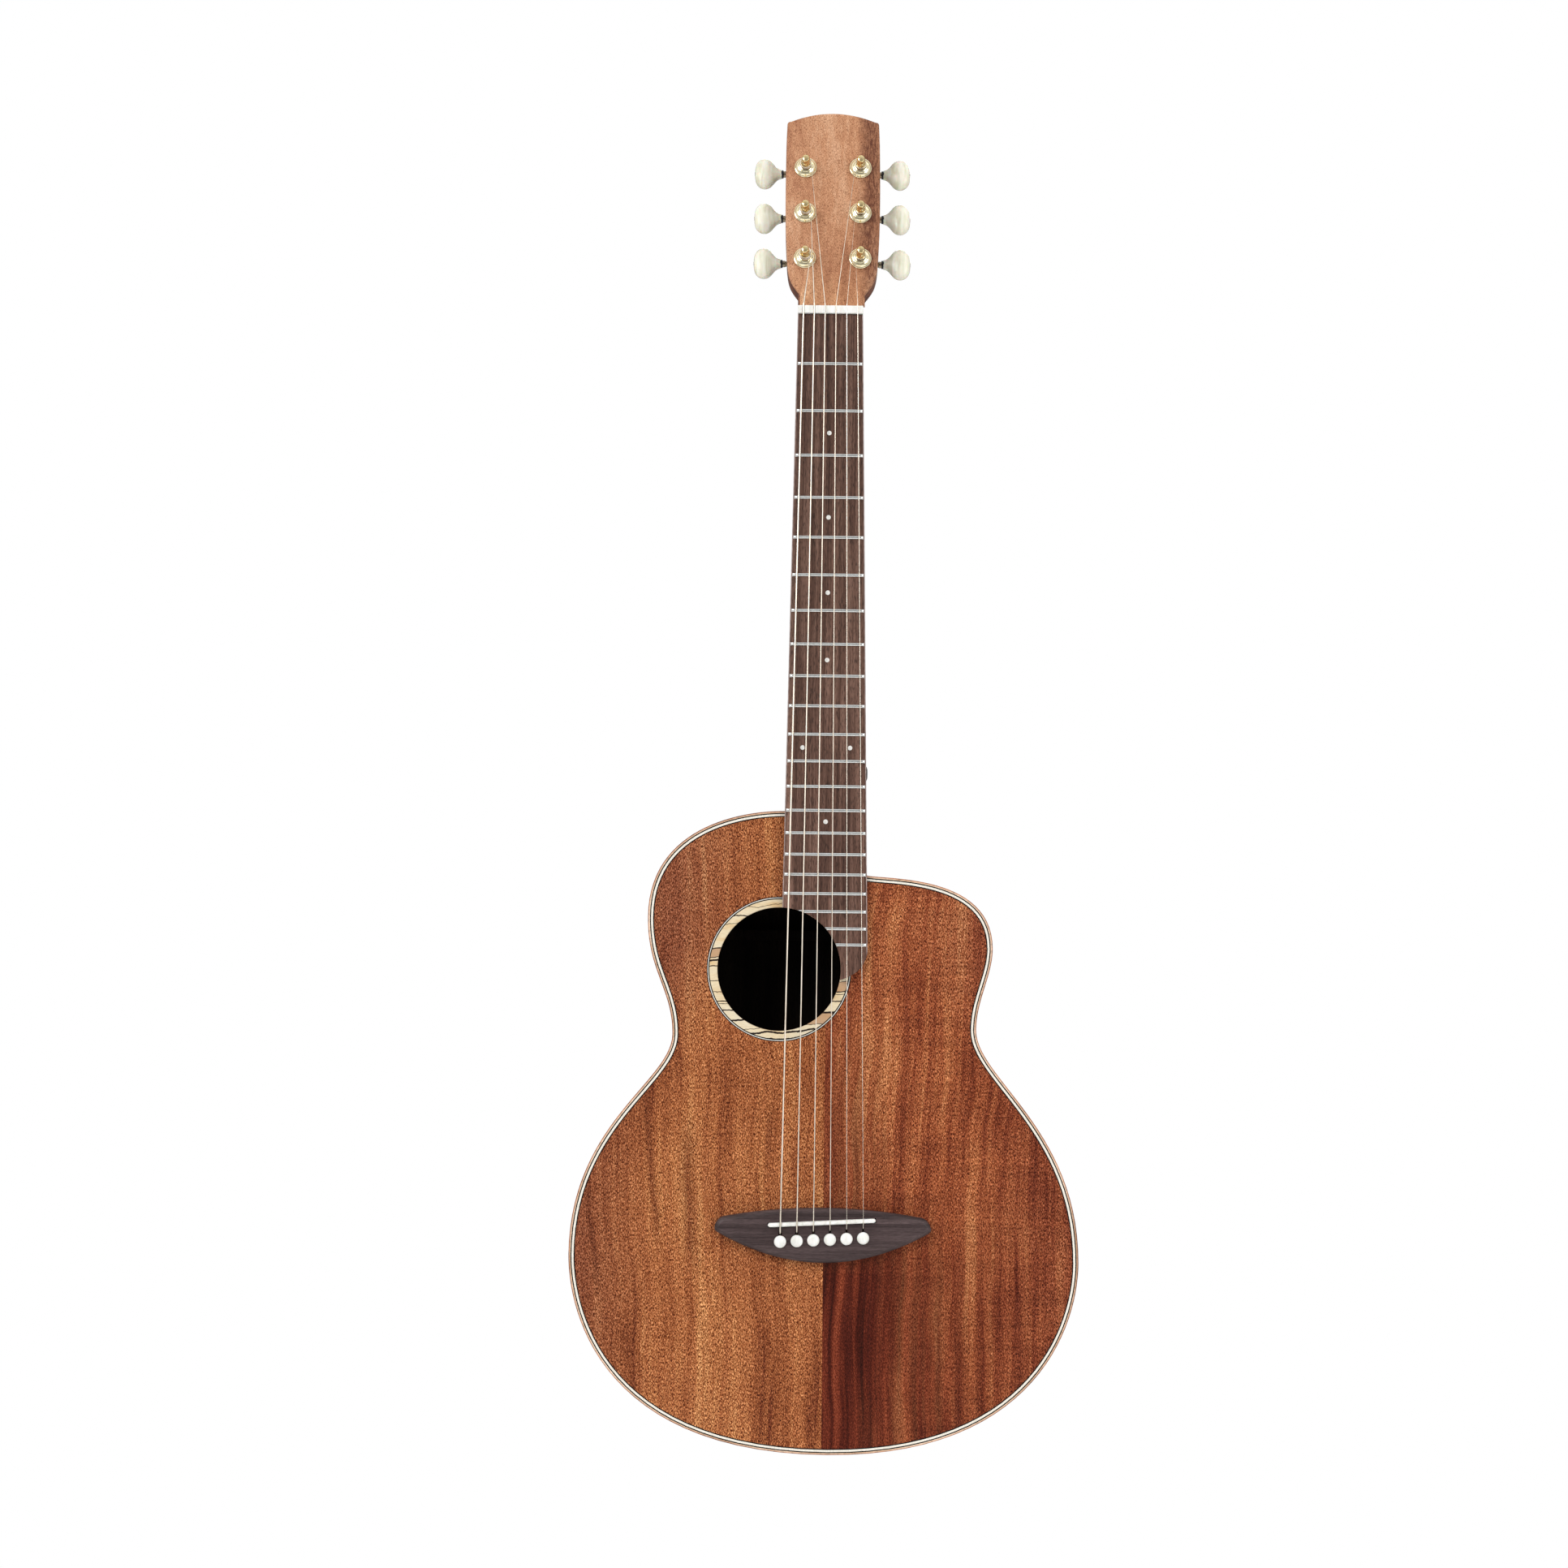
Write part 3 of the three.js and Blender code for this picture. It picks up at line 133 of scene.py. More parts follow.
SOUNDHOLE_RADIUS = 41.6
SOUNDHOLE_SHIFT = 30.3
SOUNDHOLE_DROP = 107.1
SOUNDHOLE_ROUNDING = 0.4
ROSETTE_WIDTH = 7.2
ROSETTE_DEPTH = 1.2
ROSETTE_LINES = (("black", 0.6), ("pale", 0.5), ("black", 0.75))
BRIDGE_HALF_WIDTH = 72.6
BRIDGE_UPPER_HALF_WIDTH = 68.3
BRIDGE_SHIFT = 0.7
BRIDGE_THICKNESS = 8.3
BRIDGE_ABOVE_SADDLE = 2.9
BRIDGE_UPPER_BULGE = 6.5
BRIDGE_END_DROP = 8.7
BRIDGE_END_BULGE = 1.3
BRIDGE_CORNER_REACH = 2.2
BRIDGE_LOWER_BULGE = 21
BRIDGE_BEVEL_WIDTH = 2.6
BRIDGE_BEVEL_HEIGHT = 2.2
SADDLE_LENGTH = 72
SADDLE_THICKNESS = 2.8
SADDLE_SLOT_DEPTH = 4.6
SEAM_SHIFT = 1.2
# Dark streaks in the top: how far from the seam each one's lower and upper ends lie, their heights, its width
DARK_STREAKS = (
    (127, 136, -640, -508, 3.6), (171, 175, -670, -572, 3.2), (54, 55, -585, -530, 2.6),
    (106, 108, -655, -540, 7),
)
STREAK_FADE = 25
BLOCK_END = 1  # how deep the neck block's end keeps the colour of the sides
# The dark lines across the rosette: how far above the hole's middle each lies, and how wide it is
SPALT_LINES = (
    (44, 0.3), (38, 0.6), (33.5, 0.3), (17.4, 0.7), (11.3, 0.5), (9.4, 1.1), (5.5, 0.6), (-4.3, 0.35),
    (-11.8, 0.4), (-18.4, 0.7), (-20.2, 0.35), (-24.7, 0.7), (-32, 1.1), (-39.1, 0.35), (-42.5, 1.1),
    (-46.6, 0.4),
)
# The brown patches between some of them, with the side of the hole they lie on
SPALT_PATCHES = ((11.3, 17.4, -1), (-18.4, -11.8, 1), (-39.1, -32, 1))
SADDLE_SAG = 0.5  # its ends are this much lower than its middle
SADDLE_TO_PINS = 11.3
PIN_RADIUS = 2.4
PIN_HEAD_RADIUS = 4.1
PIN_HEAD_HEIGHT = 3
PIN_LENGTH = 22
PIN_SLOT_REACH = 6.2
SLOT_PLAY = 0.8
STRING_ANCHOR_DEPTH = 4
POST_SPREAD = 38
FIRST_POST_RISE = 36.3
POST_PITCH = 34.5
POST_RADIUS = 2.8
POST_TIP_HEIGHT = 14.5
STRING_HOLE_RADIUS = 0.9
STRING_HOLE_DROP = 7.2  # below the post's tip
BUSHING_RADIUS = 7.7
BUSHING_HEIGHT = 3.4
BARREL_RADIUS = 4.6
TUNER_PLATE_THICKNESS = 1.5
TUNER_PLATE_HALF_WIDTH = 9
TUNER_PLATE_FOOT = 10
TUNER_PLATE_HEAD = 11
TUNER_PLATE_CORNER = 2.6
TUNER_SCREW_RADIUS = 2.2
TUNER_SCREW_HEIGHT = 1.1
TUNER_SCREW_INSET = 3
SMALL_BEVEL = 0.3
WORM_DEPTH = 22
WORM_RISE = 6.5
WORM_PITCH = 2.1
WORM_ROOT_RADIUS = 1.5
WORM_THREAD_HEIGHT = 0.55
WORM_THREAD_WIDTH = 0.9
WHEEL_TIP_RADIUS = 4.75
WHEEL_ROOT_RADIUS = 3.9
WHEEL_THICKNESS = 4
WHEEL_SCREW_HEIGHT = 1.2
SCREW_SLOT = 0.35
LUG_THICKNESS = 1.6
LUG_HALF_WIDTH = 3
LUG_REACH = 2.8
LUG_GAP = 0.4
SHAFT_RADIUS = 1.5
SLEEVE_RADIUS = 2.3
COLLAR_RADIUS = 2.9
COLLAR_LENGTH = 1.4
BUTTON_START = 16.6
BUTTON_LENGTH = 18.6
BUTTON_HALF_WIDTH = 11.4
BUTTON_HALF_THICKNESS = 5.1
BUTTON_SCREW_RADIUS = 1.5
BUTTON_SCREW_PROUD = 0.15
GAUGES = {"low_e": 1.35, "a": 1.07, "d": 0.85, "g": 0.66, "b": 0.5, "high_e": 0.42}
WINDING_GAP = 0.6
WINDING_HEIGHT = 4.6

# The grain of the top: how far from the seam and how high each change of tone starts and ends
SEAM_BLUR = 0.2
GRAIN_WANDER = 4.5
HEART_HEIGHTS = (-590, -650)
HEART_REACHES = (150, 20)
HEART_WANDER = 35
SHADE_HEIGHTS = (-440, -560)
SHADE_REACHES = (40, 6)
RIPPLE_REACHES = (20, 70)
FLANK_REACHES = (110, 165)
FLANK_HEIGHTS = (-530, -430)
FLANK_SHIFT = 65

# Where most values of a noise lie
NOISE_RANGE = (0.3, 0.7)

# The grain of the headplate, the fretboard and the rosette, and the depth of pores and ridges
HEAD_STREAK_INNER = (16.5, 24.5)
HEAD_STREAK_OUTER = (33.5, 29)
HEAD_STREAK_WANDER = 5
HEAD_PALE_HEIGHTS = (35, 12)
BOARD_PALE_START = -200
SPALT_WANDER = 1.2
SPALT_RAGGEDNESS = 0.25
PORE_DEPTH = 0.05
BONE_DEPTH = 0.03
WINDING_DEPTH = 0.06

# The studio: each light's place, width, height and power in watts
FLOOR_LEVEL = -1150
FLOOR_RADIUS = 1350
FLOOR_THICKNESS = 27
LIGHT_AIM = (0, 0, -310)
LIGHTS = (
    ("key", (-1600, -2200, 1100), 1600, 1600, 48),
    ("fill", (1900, -2000, 200), 1400, 1800, 26),
    ("rim", (400, 1800, 1200), 1400, 1400, 18),
)
CAMERA_PLACE = (-28.286, -2003.92, -431.71)
CAMERA_SENSOR = 36
CAMERA_LENS = 68.118
CAMERA_SIGHT = 50000

# The smallest detail that the neck's wood keeps, and how close two points are one
NECK_GRAIN = 0.7
MERGE_DISTANCE = 0.0001

# Counts and angles in degrees
CAMERA_TILT = 3.18
CAMERA_LEAN = 0.603
SEMITONES = 12  # in an octave, one to a fret
FRET_COUNT = 21
JOINT_FRET = 14
DOT_FRETS = (3, 5, 7, 9, 15)
DOUBLE_DOT_FRET = 12
BRIDGE_SLANT = 2.95
HEADSTOCK_ANGLE = 13.5
CUTAWAY_LEAN = 13.5
WORM_TURNS = 3
WHEEL_TEETH = 14
WINDING_TURNS = 2
WOUND_STRINGS = ("low_e", "a", "d", "g")
SIDES = {"low_e": -1, "a": -1, "d": -1, "g": 1, "b": 1, "high_e": 1}
ROWS = {"low_e": 0, "a": 1, "d": 2, "g": 2, "b": 1, "high_e": 0}
OUTLINE_STEPS = 28
BRIDGE_END_STEPS = 8
BRIDGE_CORNER_STEPS = 4
FLANK_STEPS = 12
TOP_CORNER_STEPS = 6
HEEL_STEPS = 6
BOARD_STEPS = 16
FRET_STEPS = 24
CROWN_STEPS = 10
SADDLE_STEPS = 8
SCREW_STEPS = 16
LUG_STEPS = 12
CORNER_STEPS = 6
BUTTON_STEPS = 5
WORM_STEPS = 24
BEND_STEPS = 5
CURVE_STEPS = 40
SECTION_STEPS = 36
LATHE_SIDES = 40
SHAFT_SIDES = 24
STRING_HOLE_SIDES = 20
FLOOR_SIDES = 96
STRING_SIDES = 10
WIRE_SHARE = 0.85  # the wire's thickness against the gauge
WINDING_STEPS = 30
CREASE = 35  # edges sharper than this stay sharp
BLEND_ROUNDS = 24

# Shares of the sizes that they follow
GRAIN_LEAN_SHARE = 0.03
SPALT_SLOPE_SHARE = 0.1
BLEND_SHARE = 0.5
FRET_CROWN_SHARE = 0.8
SADDLE_TIP_SHARE = 0.2
BASS_SHOULDER_SHARES = (0.273, 0.508)
BASS_UPPER_SHARES = (0.458, 0.37)
BASS_LOWER_SHARES = (0.193, 0.541)
BASS_TAIL_SHARES = (0.13, 0.732)
TREBLE_TAIL_SHARES = (0.67, 0.185)
TREBLE_LOWER_SHARES = (0.528, 0.188)
TREBLE_UPPER_SHARES = (0.365, 0.32)
TREBLE_SHOULDER_SHARES = (0.521, 0.122)
HEADSTOCK_SIDE_SHARES = ((0.32, 0.975), (0.56, 1), (0.85, 0.995))
HEADSTOCK_TOP_SHARE = 0.978
# From the neck's shaft down to the cap: depth, reach up the neck, width
HEEL_SHARES = (
    (0, 1, 1), (0.12, 0.72, 0.93), (0.24, 0.45, 0.76), (0.42, 0.22, 0.48), (0.68, 0.07, 0.2), (1, 0, 0),
)
# From the collar to the button's end: length, width, thickness
BUTTON_SHARES = (
    (0, 0.29, 0.55), (0.09, 0.33, 0.57), (0.19, 0.45, 0.63), (0.28, 0.63, 0.72), (0.38, 0.83, 0.82),
    (0.49, 0.955, 0.93), (0.62, 1, 1), (0.74, 0.96, 0.99), (0.84, 0.86, 0.92), (0.92, 0.71, 0.78),
    (0.975, 0.5, 0.54), (1, 0.22, 0.24),
)
# From the rim of the bushing inwards: radius between the bore and the rim, height
BUSHING_SHARES = (
    (1, 0), (1, 0.16), (0.95, 0.24), (0.84, 0.27), (0.81, 0.34), (0.7, 0.56), (0.56, 0.72), (0.44, 0.79),
    (0.41, 0.76), (0.36, 0.86), (0.2, 0.98), (0.07, 1), (0, 0.9),
)
# Up the post from the headplate's face: height, radius
POST_SHARES = (
    (0.2, 1), (0.52, 1), (0.57, 0.96), (0.62, 0.76), (0.68, 0.72), (0.74, 0.78), (0.79, 0.98), (0.83, 1.03),
    (0.93, 0.98), (0.98, 0.8), (1, 0.5),
)
# Down a bridge pin from its top: height in the head, radius of the head
PIN_HEAD_SHARES = (
    (1, 0), (0.985, 0.3), (0.93, 0.6), (0.8, 0.84), (0.6, 0.97), (0.4, 1), (0.15, 0.97), (0, 0.86),
)
# Along the strap button from its seat: length, radius
STRAP_BUTTON_SHARES = (
    (0, 1), (0.1, 1), (0.16, 0.9), (0.3, 0.62), (0.42, 0.56), (0.56, 0.62), (0.68, 0.86), (0.76, 1),
    (0.84, 1), (0.95, 0.78), (1, 0.5),
)
# Along the bridge's edge, from the face down: share of the bevel's width, share of its height
BEVEL_SHARES = ((1.08, 0), (0.96, 0.02), (0.06, 0.94), (0, 1.06))
# Along a fret from its end: share of the rounded end, share of the height
FRET_END_SHARES = ((0, 0.25), (0.25, 0.55), (0.6, 0.84), (1, 0.97))
# Along the sleeve on a tuner's shaft: length, radius
SLEEVE_SHARES = ((0, 1), (1 / 3, 1), (0.4, 0.8), (11 / 15, 0.8), (0.8, 1), (1, 1))
# From the foot of a screw's head to its top, and up the floor of its slot: radius, height
SCREW_HEAD_SHARES = ((1, 0), (1, 0.3), (0.86, 0.68), (0.6, 0.92), (0.3, 1))
SCREW_FLOOR_SHARES = ((0.9, 0), (0.8, 0.5))
# Round a rounded edge: share of the rounding across the face, share of it down the side
ROUND_SHARES = ((1, 0), (0.62, 0.08), (0.3, 0.3), (0.08, 0.62), (0, 1))
ROUND_SQUARENESS = 2.1
BOX_SQUARENESS = 9
BUTTON_SQUARENESS = 2.2
TOOTH_SHARES = ((-0.294, 0), (-0.154, 1), (0.154, 1), (0.294, 0))


def fret_place(fret):
    return -SCALE_LENGTH * (1 - 2 ** (-fret / SEMITONES))


def half_width(z):
    growth = (WIDTH_AT_TWELFTH - NUT_WIDTH) / -fret_place(SEMITONES)
    return (NUT_WIDTH - growth * z) / 2


JOINT = fret_place(JOINT_FRET)
SADDLE_PLACE = -SCALE_LENGTH - SADDLE_SETBACK
PIN_PLACE = SADDLE_PLACE - SADDLE_TO_PINS
HOLE_PLACE = JOINT - SOUNDHOLE_DROP
FRETBOARD_END = HOLE_PLACE - EXTENSION_TIP_DROP
HEADPLATE_BACK = HEADPLATE_THICKNESS + GLUE
HEADSTOCK_BACK = HEADPLATE_BACK + HEADSTOCK_THICKNESS
PLATE_FRONT = HEADSTOCK_BACK + GLUE
PLATE_BACK = PLATE_FRONT + TUNER_PLATE_THICKNESS
BORE_RADIUS = POST_RADIUS + RUNNING
WHEEL_FRONT = WORM_DEPTH - WHEEL_THICKNESS / 2
WORM_LENGTH = WORM_TURNS * WORM_PITCH
LUG_NEAR = WORM_LENGTH / 2 + WORM_PITCH / 2 + LUG_GAP
BRIDGE_TURN = math.radians(BRIDGE_SLANT)
PLATE_INSET = BINDING_WIDTH + 2 * BLACK_LINE + WHITE_LINE
BRIDGE_FACE = -GLUE - BRIDGE_THICKNESS
BOARD_FACE = -GLUE - FRETBOARD_THICKNESS


def stand(place, turn, axis):
    return Matrix.Translation(place) @ Matrix.Rotation(turn, 4, axis)


# Where the headstock, the saddle and the strap button stand; the button's y axis points to the treble side
HEADSTOCK_PLACE = (HEADSTOCK_SHIFT, -HEADSTOCK_DROP, NUT_THICKNESS + GLUE)
HEADSTOCK = stand(HEADSTOCK_PLACE, -math.radians(HEADSTOCK_ANGLE), "X")
SADDLE = stand((0, 0, SADDLE_PLACE), -BRIDGE_TURN, "Y")
STRAP_BUTTON = stand((0, STRAP_BUTTON_DEPTH, JOINT + STRAP_BUTTON_RISE), -math.pi / 2, "Z")


def back_at(z):
    return BODY_DEPTH_AT_NECK + (JOINT - z) / BODY_LENGTH * (BODY_DEPTH_AT_TAIL - BODY_DEPTH_AT_NECK)


def on_headstock(x, y, z):
    return HEADSTOCK @ Vector((x, y, z))


# Curves


def bezier(a, b, c, d, steps):
    points = []
    for i in range(steps + 1):
        t = i / steps
        u = 1 - t
        points.append(a * u**3 + b * 3 * u * u * t + c * 3 * u * t * t + d * t**3)
    return points


def arch(a, peak, b, steps):
    """A quadratic curve from a to b that is pulled towards peak."""
    shares = [i / steps for i in range(steps + 1)]
    return [a * (1 - t) ** 2 + peak * 2 * t * (1 - t) + b * t * t for t in shares]


def through(points, steps):
    """A smooth line through points, with a number of steps between each two."""
    line = []
    last = len(points) - 1
    for i in range(last):
        before, here = points[max(i - 1, 0)], points[i]
        ahead, beyond = points[i + 1], points[min(i + 2, last)]
        leaving, arriving = (ahead - before) / 2, (beyond - here) / 2
        for k in range(steps):
            t = k / steps
            line.append(
                here * (2 * t**3 - 3 * t**2 + 1)
                + leaving * (t**3 - 2 * t**2 + t)
                + ahead * (3 * t**2 - 2 * t**3)
                + arriving * (t**3 - t**2)
            )
    line.append(points[last])
    return line


def shifted(points, distance, closed=False):
    """An [x, z] line moved to its left, with mitred corners."""
    last = len(points) - 1

    def left_of(a, b):
        run = math.hypot(b[0] - a[0], b[1] - a[1])
        return (a[1] - b[1]) / run, (b[0] - a[0]) / run

    line = []
    for i, (x, z) in enumerate(points):
        before = points[i - 1] if i > 0 or closed else None
        after = points[(i + 1) % (last + 1)] if i < last or closed else None
        a = left_of(before, (x, z)) if before else left_of((x, z), after)
        b = left_of((x, z), after) if after else a
        mitre = distance / (1 + a[0] * b[0] + a[1] * b[1])
        line.append((x + mitre * (a[0] + b[0]), z + mitre * (a[1] + b[1])))
    return line


def circle(x, z, radius, sides):
    turns = [2 * math.pi * i / sides for i in range(sides)]
    return [(x + radius * math.cos(turn), z + radius * math.sin(turn)) for turn in turns]


def half_turn(steps):
    """The cosine and the sine of each step from 0 to 180 degrees."""
    return [(math.cos(math.pi * k / steps), math.sin(math.pi * k / steps)) for k in range(steps + 1)]


def squared(share, squareness):
    """Turns the cosine or sine of a circle into that of a rounded square; 2 keeps the circle."""
    return math.copysign(abs(share) ** (2 / squareness), share)


def half_section(half, depth, squareness):
    section = [
        (half * squared(c, squareness), depth * squared(s, squareness)) for c, s in half_turn(SECTION_STEPS)
    ]
    return [(half, 0), *section[1:-1], (-half, 0)]


def rim_points():
    """One line round the body, from the bass side of the neck joint to the treble side."""

    def at(x, drop):
        return Vector((x, JOINT - drop))

    left, right = Vector((-1, 0)), Vector((1, 0))
    down, up = Vector((0, -1)), Vector((0, 1))
    lean = math.radians(CUTAWAY_LEAN)
    shoulder = Vector((-math.cos(lean), math.sin(lean)))
    cutaway = half_width(JOINT - CUTAWAY_DROP) - CUTAWAY_INSET
    stations = [
        (at(CUTAWAY_INSET - half_width(JOINT), GLUE), left, BASS_SHOULDER_SHARES),
        (at(-UPPER_BOUT_BASS_REACH, UPPER_BOUT_BASS_DROP), down, BASS_UPPER_SHARES),
        (at(-WAIST_BASS_REACH, WAIST_BASS_DROP), down, BASS_LOWER_SHARES),
        (at(-LOWER_BOUT_BASS_REACH, LOWER_BOUT_BASS_DROP), down, BASS_TAIL_SHARES),
        (at(TAIL_SHIFT, BODY_LENGTH), right, TREBLE_TAIL_SHARES),
        (at(LOWER_BOUT_TREBLE_REACH, LOWER_BOUT_TREBLE_DROP), up, TREBLE_LOWER_SHARES),
        (at(WAIST_TREBLE_REACH, WAIST_TREBLE_DROP), up, TREBLE_UPPER_SHARES),
        (at(UPPER_BOUT_TREBLE_REACH, UPPER_BOUT_TREBLE_DROP), up, TREBLE_SHOULDER_SHARES),
        (at(cutaway, CUTAWAY_DROP), shoulder, None),
    ]
    line = [stations[0][0]]
    for (start, leaving, shares), (end, arriving, _) in zip(stations, stations[1:]):
        chord = (end - start).length
        pull, push = leaving * shares[0] * chord, arriving * shares[1] * chord
        line += bezier(start, start + pull, end - push, end, OUTLINE_STEPS)[1:]
    line.append(at(half_width(JOINT) - CUTAWAY_INSET, GLUE))
    return [tuple(p) for p in line]


RIM = rim_points()
RIM_TAIL = 4 * OUTLINE_STEPS


# Shapes: a list of points in millimetres and a list of faces


def skin(base, count, rings):
    """The faces between closed rings that follow each other, whose first point has the number base."""
    faces = []
    for r in range(rings - 1):
        low, high = base + r * count, base + (r + 1) * count
        for i in range(count):
            j = (i + 1) % count
            faces.append((low + i, low + j, high + j, high + i))
    return faces


def loft(rings, capped=True):
    count = len(rings[0])
    points = [Vector(p) for ring in rings for p in ring]
    faces = skin(0, count, len(rings))
    if capped:
        faces.append(tuple(range(count)))
        faces.append(tuple(len(points) - count + i for i in range(count)))
    return points, faces


def turned(rows):
    """A body of revolution about the y axis through (radius, y) rows."""
    return loft([ring_at(circle(0, 0, radius, LATHE_SIDES), y) for radius, y in rows])


def between(rows, hole_rows=()):
    """A plate whose outside steps through rows of points from front to back, with holes that do the same."""
    points, faces = [], []
    starts, ends = [], []
    for loop in (rows, *hole_rows):
        count = len(loop[0])
        base = len(points)
        points += [Vector(p) for ring in loop for p in ring]
        faces += skin(base, count, len(loop))
        starts.append(range(base, base + count))
        ends.append(range(base + (len(loop) - 1) * count, base + len(loop) * count))
    for loops in (starts, ends):
        order = [i for loop in loops for i in loop]
        flat = [[Vector((points[i].x, points[i].z, 0)) for i in loop] for loop in loops]
        faces += [tuple(order[i] for i in triangle) for triangle in tessellate_polygon(flat)]
    return points, faces


def level_at(level, z):
    return level(z) if callable(level) else level


def ring_at(outline, level):
    return [(x, level_at(level, z), z) for x, z in outline]


def steps_of(outline, *levels):
    return [ring_at(outline, level) for level in levels]


def rounded_back(outline, front, back, edge):
    """A plate whose back edge is rounded."""
    rows = [ring_at(outline, front)]
    for s, d in reversed(ROUND_SHARES):
        rows.append(ring_at(shifted(outline, s * edge, closed=True), back - d * edge))
    return between(rows)


def box(x0, x1, y0, y1, z0, z1):
    low = [(x0, y0, z0), (x1, y0, z0), (x1, y1, z0), (x0, y1, z0)]
    high = [(x, y, z1) for x, y, _ in low]
    return loft([low, high])


def tube(path, radius, sides):
    """A round tube with flat ends along a path."""
    path = [Vector(p) for p in path]
    last = len(path) - 1
    headings = []
    for i, p in enumerate(path):
        back = (p - path[i - 1]).normalized() if i else Vector()
        ahead = (path[i + 1] - p).normalized() if i < last else Vector()
        headings.append((back + ahead).normalized())
    side = Vector((1, 0, 0)).cross(headings[0]).normalized()
    rings = []
    for p, heading in zip(path, headings):
        side = (side - heading * side.dot(heading)).normalized()
        other = heading.cross(side)
        turns = [2 * math.pi * k / sides for k in range(sides)]
        rings.append([p + (side * math.cos(t) + other * math.sin(t)) * radius for t in turns])
    return loft(rings)


def joined(*shapes):
    points, faces = [], []
    for more_points, more_faces in shapes:
        base = len(points)
        points += more_points
        faces += [tuple(base + i for i in face) for face in more_faces]
    return points, faces


def moved(shape, matrix):
    points, faces = shape
    return [matrix @ p for p in points], faces


def placed(shape, x, z):
    return moved(shape, Matrix.Translation((x, 0, z)))


# Pieces


def mesh_object(name, shape):
    points, faces = shape
    mesh = bpy.data.meshes.new(name)
    mesh.from_pydata([p * MM for p in points], [], faces)
    work = bmesh.new()
    work.from_mesh(mesh)
    bmesh.ops.remove_doubles(work, verts=work.verts, dist=MERGE_DISTANCE * MM)
    bmesh.ops.recalc_face_normals(work, faces=work.faces)
    work.to_mesh(mesh)
    work.free()
    piece = bpy.data.objects.new(name, mesh)
    bpy.context.scene.collection.objects.link(piece)
    soften(piece)
    return piece


def soften(piece):
    piece.data.shade_smooth()
    piece.data.set_sharp_from_angle(angle=math.radians(CREASE))


def apply_modifiers(piece):
    graph = bpy.context.evaluated_depsgraph_get()
    result = bpy.data.meshes.new_from_object(piece.evaluated_get(graph))
    piece.modifiers.clear()
    old = piece.data
    piece.data = result
    bpy.data.meshes.remove(old)


def cut(piece, tool_shape, operation="DIFFERENCE"):
    """Cuts a piece with a shape, or keeps only what lies inside the shape."""
    tool = mesh_object("tool", tool_shape)
    change = piece.modifiers.new("change", "BOOLEAN")
    change.operation = operation
    change.solver = "EXACT"
    change.object = tool
    apply_modifiers(piece)
    scrap = tool.data
    bpy.data.objects.remove(tool)
    bpy.data.meshes.remove(scrap)
    soften(piece)


def finish_piece(piece, finish, body="guitar", replaced=()):
    piece.data.materials.clear()
    piece.data.materials.append(finishes[finish])
    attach(piece, body)
    if replaced:
        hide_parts(*replaced)
    return piece


def make(name, shape, finish, body="guitar", replaced=()):
    return finish_piece(mesh_object(name, shape), finish, body, replaced)


def refinish(piece, finish, chosen):
    """Gives the chosen faces of a piece a finish of their own."""
    piece.data.materials.append(finishes[finish])
    for face in piece.data.polygons:
        if chosen(face):
            face.material_index = 1


# The body


def along_rim(section, start=0, end=None):
    """A strip that follows the rim, whose section is [distance in from the rim, level] points."""
    lines = [shifted(RIM, distance)[start : None if end is None else end + 1] for distance, _ in section]
    rings = []
    for i in range(len(lines[0])):
        ring = []
        for line, (_, level) in zip(lines, section):
            x, z = line[i]
            ring.append((x, level_at(level, z), z))
        rings.append(ring)
    return loft(rings)


def rim_grain(piece):
    """Gives each point its place along the rim and down the side, for grain that follows the rim."""
    lengths = [0]
    for a, b in zip(RIM, RIM[1:]):
        lengths.append(lengths[-1] + math.hypot(b[0] - a[0], b[1] - a[1]))
    layer = piece.data.uv_layers.new(name="grain")
    for loop in piece.data.loops:
        p = piece.data.vertices[loop.vertex_index].co / MM
        nearest = min(range(len(RIM)), key=lambda i: (RIM[i][0] - p.x) ** 2 + (RIM[i][1] - p.z) ** 2)
        layer.data[loop.index].uv = (lengths[nearest] * MM, p.y * MM)


def plate_outline(inset):
    """The outline of a plate that fills the rim up to an inset, with a straight edge at the neck."""
    line = shifted(RIM, inset)
    return [(line[0][0], JOINT - GLUE), *line]


def hole_ring(radius, level):
    return [(x, level, z) for x, z in circle(-SOUNDHOLE_SHIFT, HOLE_PLACE, radius, 4 * LATHE_SIDES)]


def ring_plate(outer, inner, rounding=0):
    """A flat ring round the sound hole, as deep as the rosette."""
    outside = [hole_ring(outer, 0), hole_ring(outer, ROSETTE_DEPTH)]
    inside = [hole_ring(inner, rounding), hole_ring(inner, ROSETTE_DEPTH)]
    if rounding:
        inside.insert(0, hole_ring(inner + rounding, 0))
    return between(outside, [inside])


def add_soundboard():
    outline = plate_outline(PLATE_INSET)
    seat = SOUNDHOLE_RADIUS + ROSETTE_WIDTH
    hole = [
        hole_ring(seat, 0),
        hole_ring(seat, ROSETTE_DEPTH),
        hole_ring(SOUNDHOLE_RADIUS, ROSETTE_DEPTH),
        hole_ring(SOUNDHOLE_RADIUS, PLATE_THICKNESS),
    ]
    shape = between(steps_of(outline, 0, PLATE_THICKNESS), [hole])
    plate = make("soundboard_top", shape, "top", replaced=["soundboard"])
    # The faces that look into the body take near-black wood: painted shade
    refinish(plate, "inside", lambda face: face.normal.y > 0.5)


